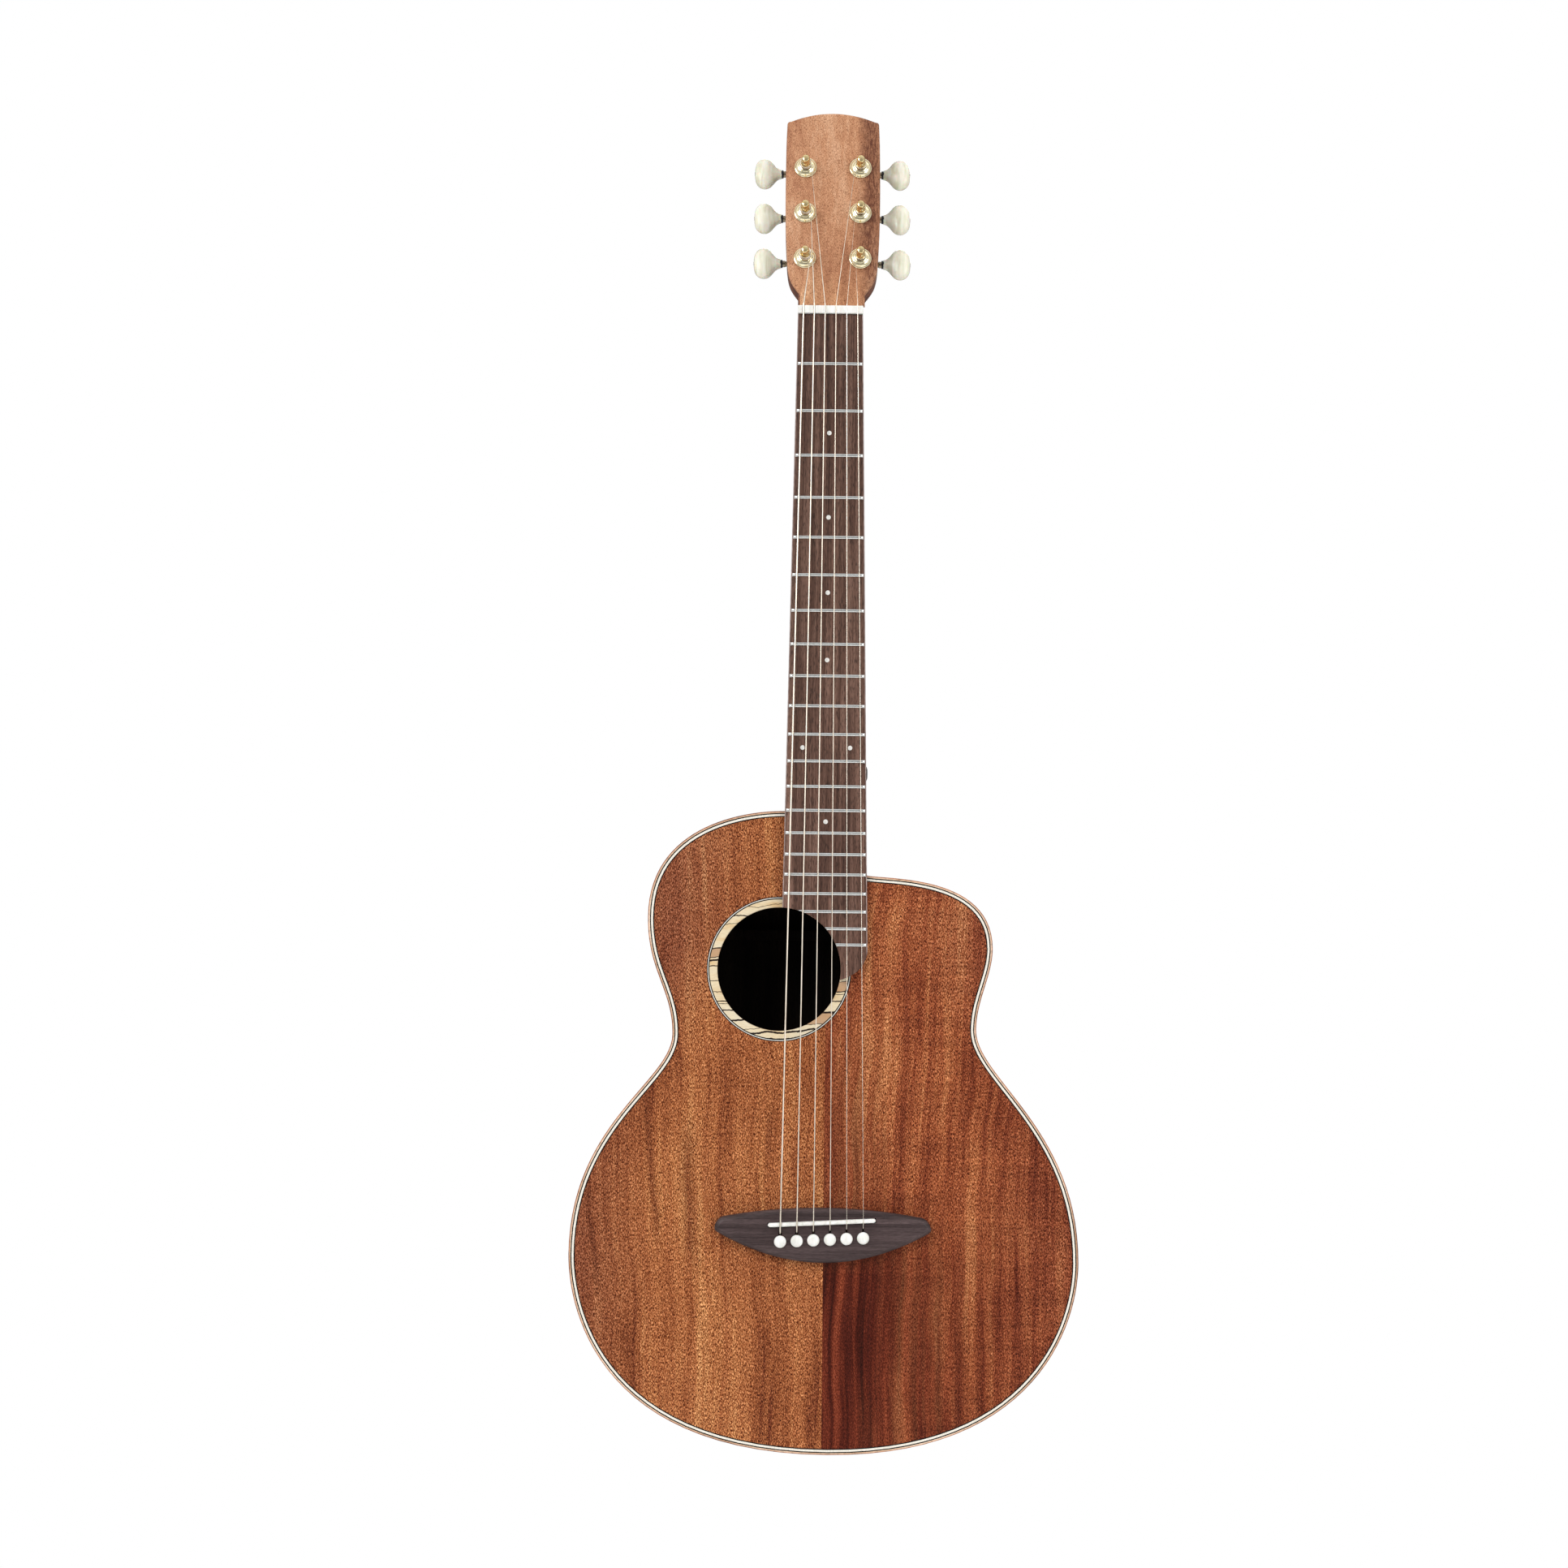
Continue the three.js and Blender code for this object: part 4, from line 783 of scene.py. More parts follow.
def add_rosette():
    maple_edge = SOUNDHOLE_RADIUS + ROSETTE_WIDTH - sum(width for name, width in ROSETTE_LINES)
    ring = ring_plate(maple_edge, SOUNDHOLE_RADIUS, SOUNDHOLE_ROUNDING)
    make("rosette_ring", ring, "spalted", replaced=["rosette"])
    outer = SOUNDHOLE_RADIUS + ROSETTE_WIDTH
    for i, (name, width) in enumerate(ROSETTE_LINES):
        line = ring_plate(outer, outer - width)
        make(f"rosette_line_{i + 1}", line, f"{name}_line")
        outer -= width


def add_rim():
    edge = BINDING_ROUNDING
    soft = [(BINDING_WIDTH, 0), *[(s * edge, d * edge) for s, d in ROUND_SHARES]]
    front = [*soft, (0, BINDING_HEIGHT), (BINDING_WIDTH, BINDING_HEIGHT)]
    top = make("binding_top", along_rim(front), "binding", replaced=["top_binding"])
    rim_grain(top)
    # The faces of a strip are numbered round its section; these run from the rounded edge down the side. They
    # take darker koa: the side's own wood, with painted shade along the rounded edge
    refinish(top, "binding_koa_and_edge_shade", lambda face: 2 <= face.index % len(front) <= 5)
    starts = BINDING_WIDTH
    for i, (name, width) in enumerate((("black", BLACK_LINE), ("white", WHITE_LINE), ("black", BLACK_LINE))):
        ends = starts + width
        strip = [(starts, 0), (ends, 0), (ends, PURFLING_DEPTH), (starts, PURFLING_DEPTH)]
        replaced = ["top_purfling"] if name == "white" else []
        make(f"purfling_{i + 1}", along_rim(strip), f"{name}_line", replaced=replaced)
        starts = ends

    def inside_back(depth):
        return lambda z: back_at(z) - depth

    back_soft = [(s * edge, inside_back(d * edge)) for s, d in ROUND_SHARES]
    back = [(BINDING_WIDTH, back_at), *back_soft, (0, inside_back(BINDING_HEIGHT))]
    back.append((BINDING_WIDTH, inside_back(BINDING_HEIGHT)))
    bottom = make("binding_back", along_rim(back), "binding", replaced=["back_binding"])
    rim_grain(bottom)
    # Darker koa on the back binding's rounded edge and side: the side's own wood, with painted shade along
    # the edge
    refinish(bottom, "binding_koa_and_edge_shade", lambda face: 2 <= face.index % len(back) <= 6)
    line = [(BINDING_WIDTH, back_at), (BINDING_WIDTH + BLACK_LINE, back_at)]
    line += [(width, inside_back(PURFLING_DEPTH)) for width in (BINDING_WIDTH + BLACK_LINE, BINDING_WIDTH)]
    make("back_line", along_rim(line), "black_line")

    seam = BLACK_LINE
    side = [(0, BINDING_HEIGHT + seam), (0, inside_back(BINDING_HEIGHT + seam))]
    side += [(SIDE_THICKNESS, inside_back(BINDING_HEIGHT + seam)), (SIDE_THICKNESS, BINDING_HEIGHT + seam)]
    for name, start, end in (("bass", 0, RIM_TAIL), ("treble", RIM_TAIL, None)):
        piece = make(f"side_{name}", along_rim(side, start, end), "side", replaced=[f"{name}_side"])
        rim_grain(piece)
        # The inner face takes near-black wood: painted shade
        refinish(piece, "inside", lambda face: face.index % len(side) == 2)
    for name, near, far in (
        ("side_line_top", BINDING_HEIGHT, BINDING_HEIGHT + seam),
        ("side_line_back", inside_back(BINDING_HEIGHT + seam), inside_back(BINDING_HEIGHT)),
    ):
        strip = [(0, near), (0, far), (SIDE_THICKNESS, far), (SIDE_THICKNESS, near)]
        make(name, along_rim(strip), "black_line")


def add_back():
    outline = plate_outline(BINDING_WIDTH + BLACK_LINE)
    shape = between(steps_of(outline, back_at, lambda z: back_at(z) - PLATE_THICKNESS))
    plate = make("back", shape, "back", replaced=["back_plate"])
    # The faces that look into the body take near-black wood: painted shade
    refinish(plate, "inside", lambda face: face.normal.y < -0.5)


# The bridge


def string_x(spread, i):
    return spread * (i / (len(GAUGES) - 1) - 1 / 2)


def pin_place(i):
    x = string_x(STRING_SPREAD_AT_PINS, i)
    return x, PIN_PLACE + x * math.tan(BRIDGE_TURN)


def bridge_outline():
    top = SADDLE_PLACE + BRIDGE_ABOVE_SADDLE
    low = top - BRIDGE_END_DROP
    middle = BRIDGE_SHIFT

    def at(x, z):
        return Vector((middle + x, z))

    wide, narrow = BRIDGE_HALF_WIDTH, BRIDGE_UPPER_HALF_WIDTH
    bow = (wide + narrow) / 2 + 2 * BRIDGE_END_BULGE
    belly = arch(at(-wide, low), at(0, low - 2 * BRIDGE_LOWER_BULGE), at(wide, low), CURVE_STEPS)
    brow = arch(at(narrow, top), at(0, top + 2 * BRIDGE_UPPER_BULGE), at(-narrow, top), CURVE_STEPS)
    treble_end = arch(at(wide, low), at(bow, (low + top) / 2), at(narrow, top), BRIDGE_END_STEPS)
    bass_end = arch(at(-narrow, top), at(-bow, (low + top) / 2), at(-wide, low), BRIDGE_END_STEPS)
    outline = []
    sides = [belly, treble_end, brow, bass_end]
    for side, after in zip(sides, sides[1:] + sides[:1]):
        corner = side[-1]
        kept = [p for p in side if min((p - side[0]).length, (p - corner).length) > BRIDGE_CORNER_REACH]
        start = corner + (kept[-1] - corner).normalized() * BRIDGE_CORNER_REACH
        end = corner + (after[1] - corner).normalized() * BRIDGE_CORNER_REACH
        outline += kept + arch(start, corner, end, BRIDGE_CORNER_STEPS)
    return [tuple(p) for p in outline]


def add_bridge():
    outline = bridge_outline()
    rows = []
    for inwards, down in BEVEL_SHARES:
        line = shifted(outline, inwards * BRIDGE_BEVEL_WIDTH, closed=True)
        rows.append(ring_at(line, BRIDGE_FACE + down * BRIDGE_BEVEL_HEIGHT))
    rows.append(ring_at(outline, -GLUE))
    bridge = mesh_object("bridge_body", between(rows))
    bore = PIN_RADIUS + RUNNING
    above = BRIDGE_FACE - OVERRUN
    for i, gauge in enumerate(GAUGES.values()):
        x, z = pin_place(i)
        half = (gauge + SLOT_PLAY) / 2
        cut(bridge, placed(turned([(bore, above), (bore, OVERRUN)]), x, z))
        cut(bridge, box(x - half, x + half, above, OVERRUN, z, z + PIN_SLOT_REACH))
    half = SADDLE_LENGTH / 2 + GLUE
    deep = SADDLE_THICKNESS / 2 + GLUE / 2
    cut(bridge, moved(box(-half, half, above, BRIDGE_FACE + SADDLE_SLOT_DEPTH - GLUE, -deep, deep), SADDLE))
    finish_piece(bridge, "bridge", replaced=["bridge"])


def add_saddle():
    half = SADDLE_LENGTH / 2
    deep = SADDLE_THICKNESS / 2
    foot = BRIDGE_FACE + SADDLE_SLOT_DEPTH
    rings = []
    for i in range(CURVE_STEPS + 1):
        x = half * math.sin(math.pi / 2 * (2 * i / CURVE_STEPS - 1))
        round_off = max(0, (abs(x) - half) / deep + 1)
        wide = deep * math.sqrt(max(SADDLE_TIP_SHARE**2, 1 - round_off**2))
        top = -STRING_HEIGHT_AT_SADDLE + SADDLE_SAG * (x / half) ** 2 + (deep - wide) / 2
        crown = [(x, top + deep - deep * s, wide * c) for c, s in half_turn(SADDLE_STEPS)]
        rings.append([(x, foot, wide), *crown, (x, foot, -wide)])
    make("saddle_bone", moved(loft(rings), SADDLE), "bone", replaced=["saddle"])


def add_pins():
    head = [(r * PIN_HEAD_RADIUS, BRIDGE_FACE - h * PIN_HEAD_HEIGHT) for h, r in PIN_HEAD_SHARES]
    tip = BRIDGE_FACE - PIN_HEAD_HEIGHT + PIN_LENGTH
    body = [(PIN_RADIUS, BRIDGE_FACE), (PIN_RADIUS, tip), (0, tip)]
    for i, name in enumerate(GAUGES):
        pin = placed(turned(head + body), *pin_place(i))
        make(f"pin_{name}", pin, "bone", replaced=[f"bridge_pin_{name}"])


# The neck


def headstock_outline(foot):
    half = HEADSTOCK_WIDTH / 2
    top = half * HEADSTOCK_TOP_SHARE
    side = [Vector((NUT_WIDTH / 2, THROAT_LENGTH)), Vector((FLARE_WIDTH / 2, FLARE_LENGTH))]
    side += [Vector((x * half, z * HEADSTOCK_LENGTH)) for z, x in HEADSTOCK_SIDE_SHARES]
    side.append(Vector((top, HEADSTOCK_LENGTH - TOP_CORNER_RADIUS)))
    flank = [tuple(p) for p in through(side, FLANK_STEPS)]
    start = Vector((top - TOP_CORNER_RADIUS, HEADSTOCK_LENGTH))
    peak = Vector((0, HEADSTOCK_LENGTH + 2 * HEADSTOCK_CROWN_RISE))
    crown = [tuple(p) for p in arch(start, peak, Vector((-start.x, start.y)), CURVE_STEPS)]
    corner = arch(Vector(flank[-1]), Vector((top, HEADSTOCK_LENGTH)), start, TOP_CORNER_STEPS)
    corner = [tuple(p) for p in corner[1:-1]]
    feet = [(NUT_WIDTH / 2, foot)] if foot < THROAT_LENGTH else []
    right = feet + flank + corner
    left = [(-x, z) for x, z in reversed(right)]
    return right + crown + left


def tuner_place(name):
    return SIDES[name] * POST_SPREAD / 2, FIRST_POST_RISE + ROWS[name] * POST_PITCH


def add_headplate():
    outline = headstock_outline(HEADPLATE_START)
    edge = EDGE_ROUNDING
    rows = [ring_at(shifted(outline, s * edge, closed=True), d * edge) for s, d in ROUND_SHARES]
    rows.append(ring_at(outline, HEADPLATE_THICKNESS))
    holes = []
    for x, z in map(tuner_place, GAUGES):
        holes.append(steps_of(circle(x, z, BARREL_RADIUS + GLUE, LATHE_SIDES), 0, HEADPLATE_THICKNESS))
    plate = moved(between(rows, holes), HEADSTOCK)
    make("headstock_face", plate, "headplate", replaced=["headplate"])


def neck_shaft():
    def ring(z, depth):
        return [(x, y, z) for x, y in half_section(half_width(z), depth, ROUND_SQUARENESS)]

    def head_ring(z, squareness):
        section = half_section(NUT_WIDTH / 2, HEADSTOCK_BACK - HEADPLATE_BACK, squareness)
        return [on_headstock(x - HEADSTOCK_SHIFT, y + HEADPLATE_BACK, z) for x, y in section]

    blend = (2 * ROUND_SQUARENESS + BOX_SQUARENESS) / 3
    rings = [ring(JOINT, NECK_DEPTH_AT_HEEL), ring(-NUT_THICKNESS, NECK_DEPTH_AT_NUT)]
    rings += [head_ring(0, blend), head_ring(THROAT_LENGTH, BOX_SQUARENESS)]
    rings.append(head_ring(THROAT_LENGTH + OVERRUN, BOX_SQUARENESS))
    return loft(rings)


def heel():
    top = NECK_DEPTH_AT_HEEL / 2
    end = back_at(JOINT) - HEEL_CAP_THICKNESS - GLUE
    rings = []
    for share, length, width in through([Vector(row) for row in HEEL_SHARES], HEEL_STEPS):
        y = top + share * (end - top)
        reach = HEEL_LENGTH_AT_CAP + length * (HEEL_LENGTH_AT_TOP - HEEL_LENGTH_AT_CAP)
        half = HEEL_HALF_WIDTH_AT_CAP + width * (HEEL_HALF_WIDTH_AT_TOP - HEEL_HALF_WIDTH_AT_CAP)
        rings.append([(x, y, JOINT + z) for x, z in half_section(half, reach, ROUND_SQUARENESS)])
    return loft(rings)


def head_wood():
    outline = headstock_outline(THROAT_LENGTH)
    return moved(rounded_back(outline, HEADPLATE_BACK, HEADSTOCK_BACK, BACK_EDGE_ROUNDING), HEADSTOCK)


def add_neck():
    neck = mesh_object("neck_wood", joined(neck_shaft(), heel(), head_wood()))
    fuse = neck.modifiers.new("fuse", "REMESH")
    fuse.mode = "VOXEL"
    fuse.voxel_size = NECK_GRAIN * MM
    apply_modifiers(neck)
    group = neck.vertex_groups.new(name="blend")
    low, high = NECK_DEPTH_AT_NUT / 3, HEEL_BLEND_REACH + NECK_DEPTH_AT_HEEL
    reach = JOINT + HEEL_LENGTH_AT_TOP + HEEL_BLEND_REACH
    for v in neck.data.vertices:
        x, y, z = v.co / MM
        if low < y < high and JOINT + OVERRUN < z < reach:
            fade = min(1, (reach - z) / HEEL_BLEND_REACH, (y - low) / low, (high - y) / low)
            group.add([v.index], fade, "REPLACE")
    smooth = neck.modifiers.new("smooth", "SMOOTH")
    smooth.vertex_group = "blend"
    smooth.factor = BLEND_SHARE
    smooth.iterations = BLEND_ROUNDS
    apply_modifiers(neck)
    bore = BARREL_RADIUS + GLUE
    barrel = turned([(bore, -OVERRUN), (bore, HEADSTOCK_BACK + OVERRUN)])
    for x, z in map(tuner_place, GAUGES):
        cut(neck, moved(placed(barrel, x, z), HEADSTOCK))
    spot = STRAP_BUTTON_RADIUS + RUNNING
    cut(neck, moved(turned([(spot, STRAP_BUTTON_SEAT - GLUE), (spot, HEEL_HALF_WIDTH_AT_TOP)]), STRAP_BUTTON))
    finish_piece(neck, "mahogany", replaced=["neck"])


def add_heel_fittings():
    back = back_at(JOINT)
    outline = half_section(HEEL_HALF_WIDTH_AT_CAP, HEEL_LENGTH_AT_CAP, ROUND_SQUARENESS)
    outline = [(x, JOINT + z) for x, z in outline]
    cap = rounded_back(outline, back - HEEL_CAP_THICKNESS, back, EDGE_ROUNDING)
    make("heel_cap_wood", cap, "bridge", replaced=["heel_cap"])
    seat, length = STRAP_BUTTON_SEAT, STRAP_BUTTON_LENGTH
    rows = [(0, seat - length), (STRAP_SCREW_RADIUS, seat - length)]
    rows += [(STRAP_FOOT_END_RADIUS, seat - STRAP_FOOT_LENGTH), (STRAP_FOOT_RADIUS, seat)]
    rows += [(radius * STRAP_BUTTON_RADIUS, seat + share * length) for share, radius in STRAP_BUTTON_SHARES]
    rows.append((0, seat + length))
    shape = moved(turned(rows), STRAP_BUTTON)
    make("strap_button", shape, "black_metal", replaced=["heel_strap_button"])


# The fretboard


def sag(x):
    return FRETBOARD_CROWN - math.sqrt(FRETBOARD_CROWN**2 - x * x)


def fretboard_plan(margin):
    shoulder = HOLE_PLACE + EXTENSION_SHOULDER_RISE
    edge = half_width(shoulder) - margin
    tip = Vector((SOUNDHOLE_RADIUS - SOUNDHOLE_SHIFT - OVERRUN, FRETBOARD_END + margin))
    pull = Vector((edge, HOLE_PLACE - EXTENSION_CURVE_DROP + margin))
    curve = [tuple(p) for p in arch(tip, pull, Vector((edge, shoulder)), CURVE_STEPS)]
    left = [
        (half_width(0) - margin, -GLUE),
        (margin - half_width(0), -GLUE),
        (margin - half_width(HOLE_PLACE), HOLE_PLACE),
        (SOUNDHOLE_RADIUS / 2 - SOUNDHOLE_SHIFT, FRETBOARD_END + margin),
    ]
    outline = left + curve
    deep = FRETBOARD_THICKNESS + FRET_HEIGHT + OVERRUN
    return between(steps_of(outline, -GLUE - deep, OVERRUN))


def sound_hole_tool():
    deep = FRETBOARD_THICKNESS + FRET_HEIGHT + 2 * OVERRUN
    return between([hole_ring(SOUNDHOLE_RADIUS, -deep), hole_ring(SOUNDHOLE_RADIUS, OVERRUN)])


def board_ring(z):
    half = half_width(z)
    ring = [(half, -GLUE, z), (-half, -GLUE, z)]
    edge = FRETBOARD_EDGE
    side = [(half - s * edge, BOARD_FACE + sag(half) + d * edge, z) for s, d in reversed(ROUND_SHARES)]
    ring += [(-x, y, z) for x, y, z in side]
    for i in range(1, BOARD_STEPS):
        x = (half - edge) * (2 * i / BOARD_STEPS - 1)
        ring.append((x, BOARD_FACE + sag(x), z))
    return ring + side[::-1]


def fret_shape(fret):
    """One fret wire, from the bass side to the treble side."""
    z = fret_place(fret)
    reach = half_width(z) - FRET_END_INSET
    half = FRET_WIDTH / 2
    left = [(-reach + share * FRET_END_ROUND, rise) for share, rise in FRET_END_SHARES]
    middle = [(reach * (2 * i / FRET_STEPS - 1), 1) for i in range(FRET_STEPS + 1)]
    middle = [(x, rise) for x, rise in middle if abs(x) < reach - FRET_END_ROUND]
    rings = []
    for x, rise in left + middle + [(-x, rise) for x, rise in reversed(left)]:
        foot = BOARD_FACE + sag(x)
        height = FRET_HEIGHT * rise
        arc = half_turn(CROWN_STEPS)
        crown = [(x, foot - height * s**FRET_CROWN_SHARE, z + half * c) for c, s in arc]
        rings.append([(x, foot + GLUE, z + half), *crown, (x, foot + GLUE, z - half)])
    return loft(rings)


def add_fretboard():
    board = mesh_object("fretboard_wood", loft([board_ring(-GLUE), board_ring(FRETBOARD_END - OVERRUN)]))
    cut(board, fretboard_plan(0), "INTERSECT")
    cut(board, sound_hole_tool())
    finish_piece(board, "fretboard", replaced=["fretboard"])

    def at_front_edge(face):
        x, y, z = face.center / MM
        outside = abs(x) > half_width(z) - FRETBOARD_EDGE
        return outside and y < BOARD_FACE + sag(x) + FRETBOARD_EDGE and z > FRETBOARD_END

    # A pale grey along the rounded front edges of the board: a painted highlight
    refinish(board, "painted_edge_highlight", at_front_edge)
    frets = mesh_object("frets", joined(*[fret_shape(n + 1) for n in range(FRET_COUNT)]))
    cut(frets, fretboard_plan(FRET_END_INSET), "INTERSECT")
    cut(frets, sound_hole_tool())
    finish_piece(frets, "fret_metal")
    dots = [(0, fret) for fret in DOT_FRETS]
    dots += [(-DOUBLE_DOT_REACH, DOUBLE_DOT_FRET), (DOUBLE_DOT_REACH, DOUBLE_DOT_FRET)]
    shapes = []
    for x, fret in dots:
        z = (fret_place(fret - 1) + fret_place(fret)) / 2
        face = BOARD_FACE + sag(x)
        rows = [(0, face - DOT_PROUD), (DOT_RADIUS - DOT_PROUD, face - DOT_PROUD)]
        rows += [(DOT_RADIUS, face), (DOT_RADIUS, face + DOT_DEPTH), (0, face + DOT_DEPTH)]
        shapes.append(placed(turned(rows), x, z))
    make("dots", joined(*shapes), "shell")


def add_nut():
    half = NUT_WIDTH / 2
    top = -GLUE - NUT_HEIGHT
    edge = NUT_ROUNDING
    section = [(-GLUE, 0), (-GLUE, NUT_THICKNESS)]
    section += [(top + d * edge, NUT_THICKNESS - s * edge) for s, d in reversed(ROUND_SHARES)]
    section += [(top + d * NUT_FRONT_ROUNDING, s * NUT_FRONT_ROUNDING) for s, d in ROUND_SHARES]
    rings = []
    for x, inset in ((-half, edge / 3), (-half + edge / 3, 0), (half - edge / 3, 0), (half, edge / 3)):
        middle = NUT_THICKNESS / 2
        narrower = 1 - inset / middle
        rings.append([(x, max(y, top + inset), middle + (z - middle) * narrower) for y, z in section])
    nut = mesh_object("nut_bone", loft(rings))
    for i, gauge in enumerate(GAUGES.values()):
        x = string_x(STRING_SPREAD_AT_NUT, i)
        width = gauge / 2 + STRING_CLEARANCE / 3
        above, floor = top - OVERRUN, -STRING_HEIGHT_AT_NUT
        cut(nut, box(x - width, x + width, above, floor, -OVERRUN, NUT_THICKNESS + OVERRUN))
    finish_piece(nut, "bone", replaced=["nut"])


# The tuning machines


def rounded_rectangle(x0, x1, z0, z1, radius):
    corners = ((x1, z0, -90), (x1, z1, 0), (x0, z1, 90), (x0, z0, 180))
    outline = []
    for x, z, start in corners:
        cx = x - math.copysign(radius, x - (x0 + x1) / 2)
        cz = z - math.copysign(radius, z - (z0 + z1) / 2)
        for k in range(CORNER_STEPS + 1):
            turn = math.radians(start + 90 * k / CORNER_STEPS)
            outline.append((cx + radius * math.cos(turn), cz + radius * math.sin(turn)))
    return outline


def bevelled_back(outline, front, back):
    soft = shifted(outline, SMALL_BEVEL, closed=True)
    return [*steps_of(outline, front, back - SMALL_BEVEL), ring_at(soft, back)]


def tuner_base():
    lip = BUSHING_RADIUS - BORE_RADIUS
    dome = [(BORE_RADIUS + r * lip, -GLUE - y * BUSHING_HEIGHT) for r, y in reversed(BUSHING_SHARES)]
    profile = [*dome, (BARREL_RADIUS, -GLUE), (BARREL_RADIUS, PLATE_BACK), (BORE_RADIUS, PLATE_BACK), dome[0]]
    bushing = loft([ring_at(circle(0, 0, radius, LATHE_SIDES), y) for radius, y in profile], capped=False)
    wide, foot = TUNER_PLATE_HALF_WIDTH, -TUNER_PLATE_FOOT
    outline = rounded_rectangle(-wide, wide, foot, TUNER_PLATE_HEAD, TUNER_PLATE_CORNER)
    bore = circle(0, 0, (BORE_RADIUS + BARREL_RADIUS) / 2, LATHE_SIDES)
    hole = steps_of(bore, PLATE_FRONT, PLATE_FRONT + SMALL_BEVEL, PLATE_BACK)
    parts = [bushing, between(bevelled_back(outline, PLATE_FRONT, PLATE_BACK), [hole])]
    for side in (-1, 1):
        x, z = side * (wide - TUNER_SCREW_INSET), foot + TUNER_SCREW_INSET
        parts.append(screw_head(TUNER_SCREW_RADIUS, PLATE_BACK - GLUE, TUNER_SCREW_HEIGHT + GLUE, x, z))
        parts.append(lug(side))
    return joined(*parts)


def screw_head(radius, level, height, x, z):
    """A domed screw head whose slot is a groove between its two halves."""
    halves = []
    for side in (-1, 1):
        rings = []
        for share, rise in SCREW_HEAD_SHARES:
            reach = radius * share
            half = [(reach * c, side * max(reach * s, SCREW_SLOT / 2)) for c, s in half_turn(SCREW_STEPS)]
            rings.append([(x + across, level + rise * height, z + up) for across, up in half])
        halves.append(loft(rings))
    floor = [(radius * share, level + rise * height) for share, rise in SCREW_FLOOR_SHARES]
    return joined(*halves, placed(turned(floor), x, z))


def lug(side):
    """A rounded ear that holds the worm's shaft."""
    ends = (side * LUG_NEAR, side * (LUG_NEAR + LUG_THICKNESS))
    start = PLATE_BACK - GLUE
    low, high = WORM_RISE - LUG_HALF_WIDTH, WORM_RISE + LUG_HALF_WIDTH
    arc = half_turn(LUG_STEPS)[1:-1]
    nose = [(WORM_DEPTH + LUG_REACH * s, WORM_RISE - LUG_HALF_WIDTH * c) for c, s in arc]
    outline = [(start, low), (WORM_DEPTH, low), *nose, (WORM_DEPTH, high), (start, high)]
    hole = circle(WORM_DEPTH, WORM_RISE, SHAFT_RADIUS + RUNNING, LATHE_SIDES // 2)
    points, faces = between(steps_of(outline, *ends), [steps_of(hole, *ends)])
    return [Vector((p.y, p.x, p.z)) for p in points], faces


def shaft_piece(rows):
    """A turned piece about the worm's shaft, through (radius, x) rows."""
    return loft([
        [(x, y, z) for y, z in circle(WORM_DEPTH, WORM_RISE, radius, SHAFT_SIDES)] for radius, x in rows
    ])


def worm():
    steps = WORM_TURNS * WORM_STEPS
    half = WORM_THREAD_WIDTH / 2
    crest, root = WORM_ROOT_RADIUS + WORM_THREAD_HEIGHT, WORM_ROOT_RADIUS / 2
    section = ((-half, root), (-half / 2, crest), (half / 2, crest), (half, root))
    rings = []
    for i in range(steps + 1):
        turns = (i / steps - 1 / 2) * WORM_TURNS
        angle = turns * 2 * math.pi
        x, c, s = turns * WORM_PITCH, math.cos(angle), math.sin(angle)
        rings.append([(x + dx, WORM_DEPTH - r * s, WORM_RISE - r * c) for dx, r in section])
    return loft(rings)


def button():
    rings = []
    for share, width, thickness in through([Vector(row) for row in BUTTON_SHARES], BUTTON_STEPS):
        x = BUTTON_START + share * BUTTON_LENGTH
        ring = []
        for c, s in circle(0, 0, 1, LATHE_SIDES):
            across = squared(c, BUTTON_SQUARENESS) * width * BUTTON_HALF_WIDTH
            deep = squared(s, BUTTON_SQUARENESS) * thickness * BUTTON_HALF_THICKNESS
            ring.append((x, WORM_DEPTH + deep, WORM_RISE + across))
        rings.append(ring)
    return loft(rings)


def wheel_outline():
    outline = []
    for tooth in range(WHEEL_TEETH):
        for share, rise in TOOTH_SHARES:
            turn = math.pi / 2 + (tooth + 1 / 2 + share) * 2 * math.pi / WHEEL_TEETH
            radius = WHEEL_ROOT_RADIUS + rise * (WHEEL_TIP_RADIUS - WHEEL_ROOT_RADIUS)
            outline.append((radius * math.cos(turn), radius * math.sin(turn)))
    return outline


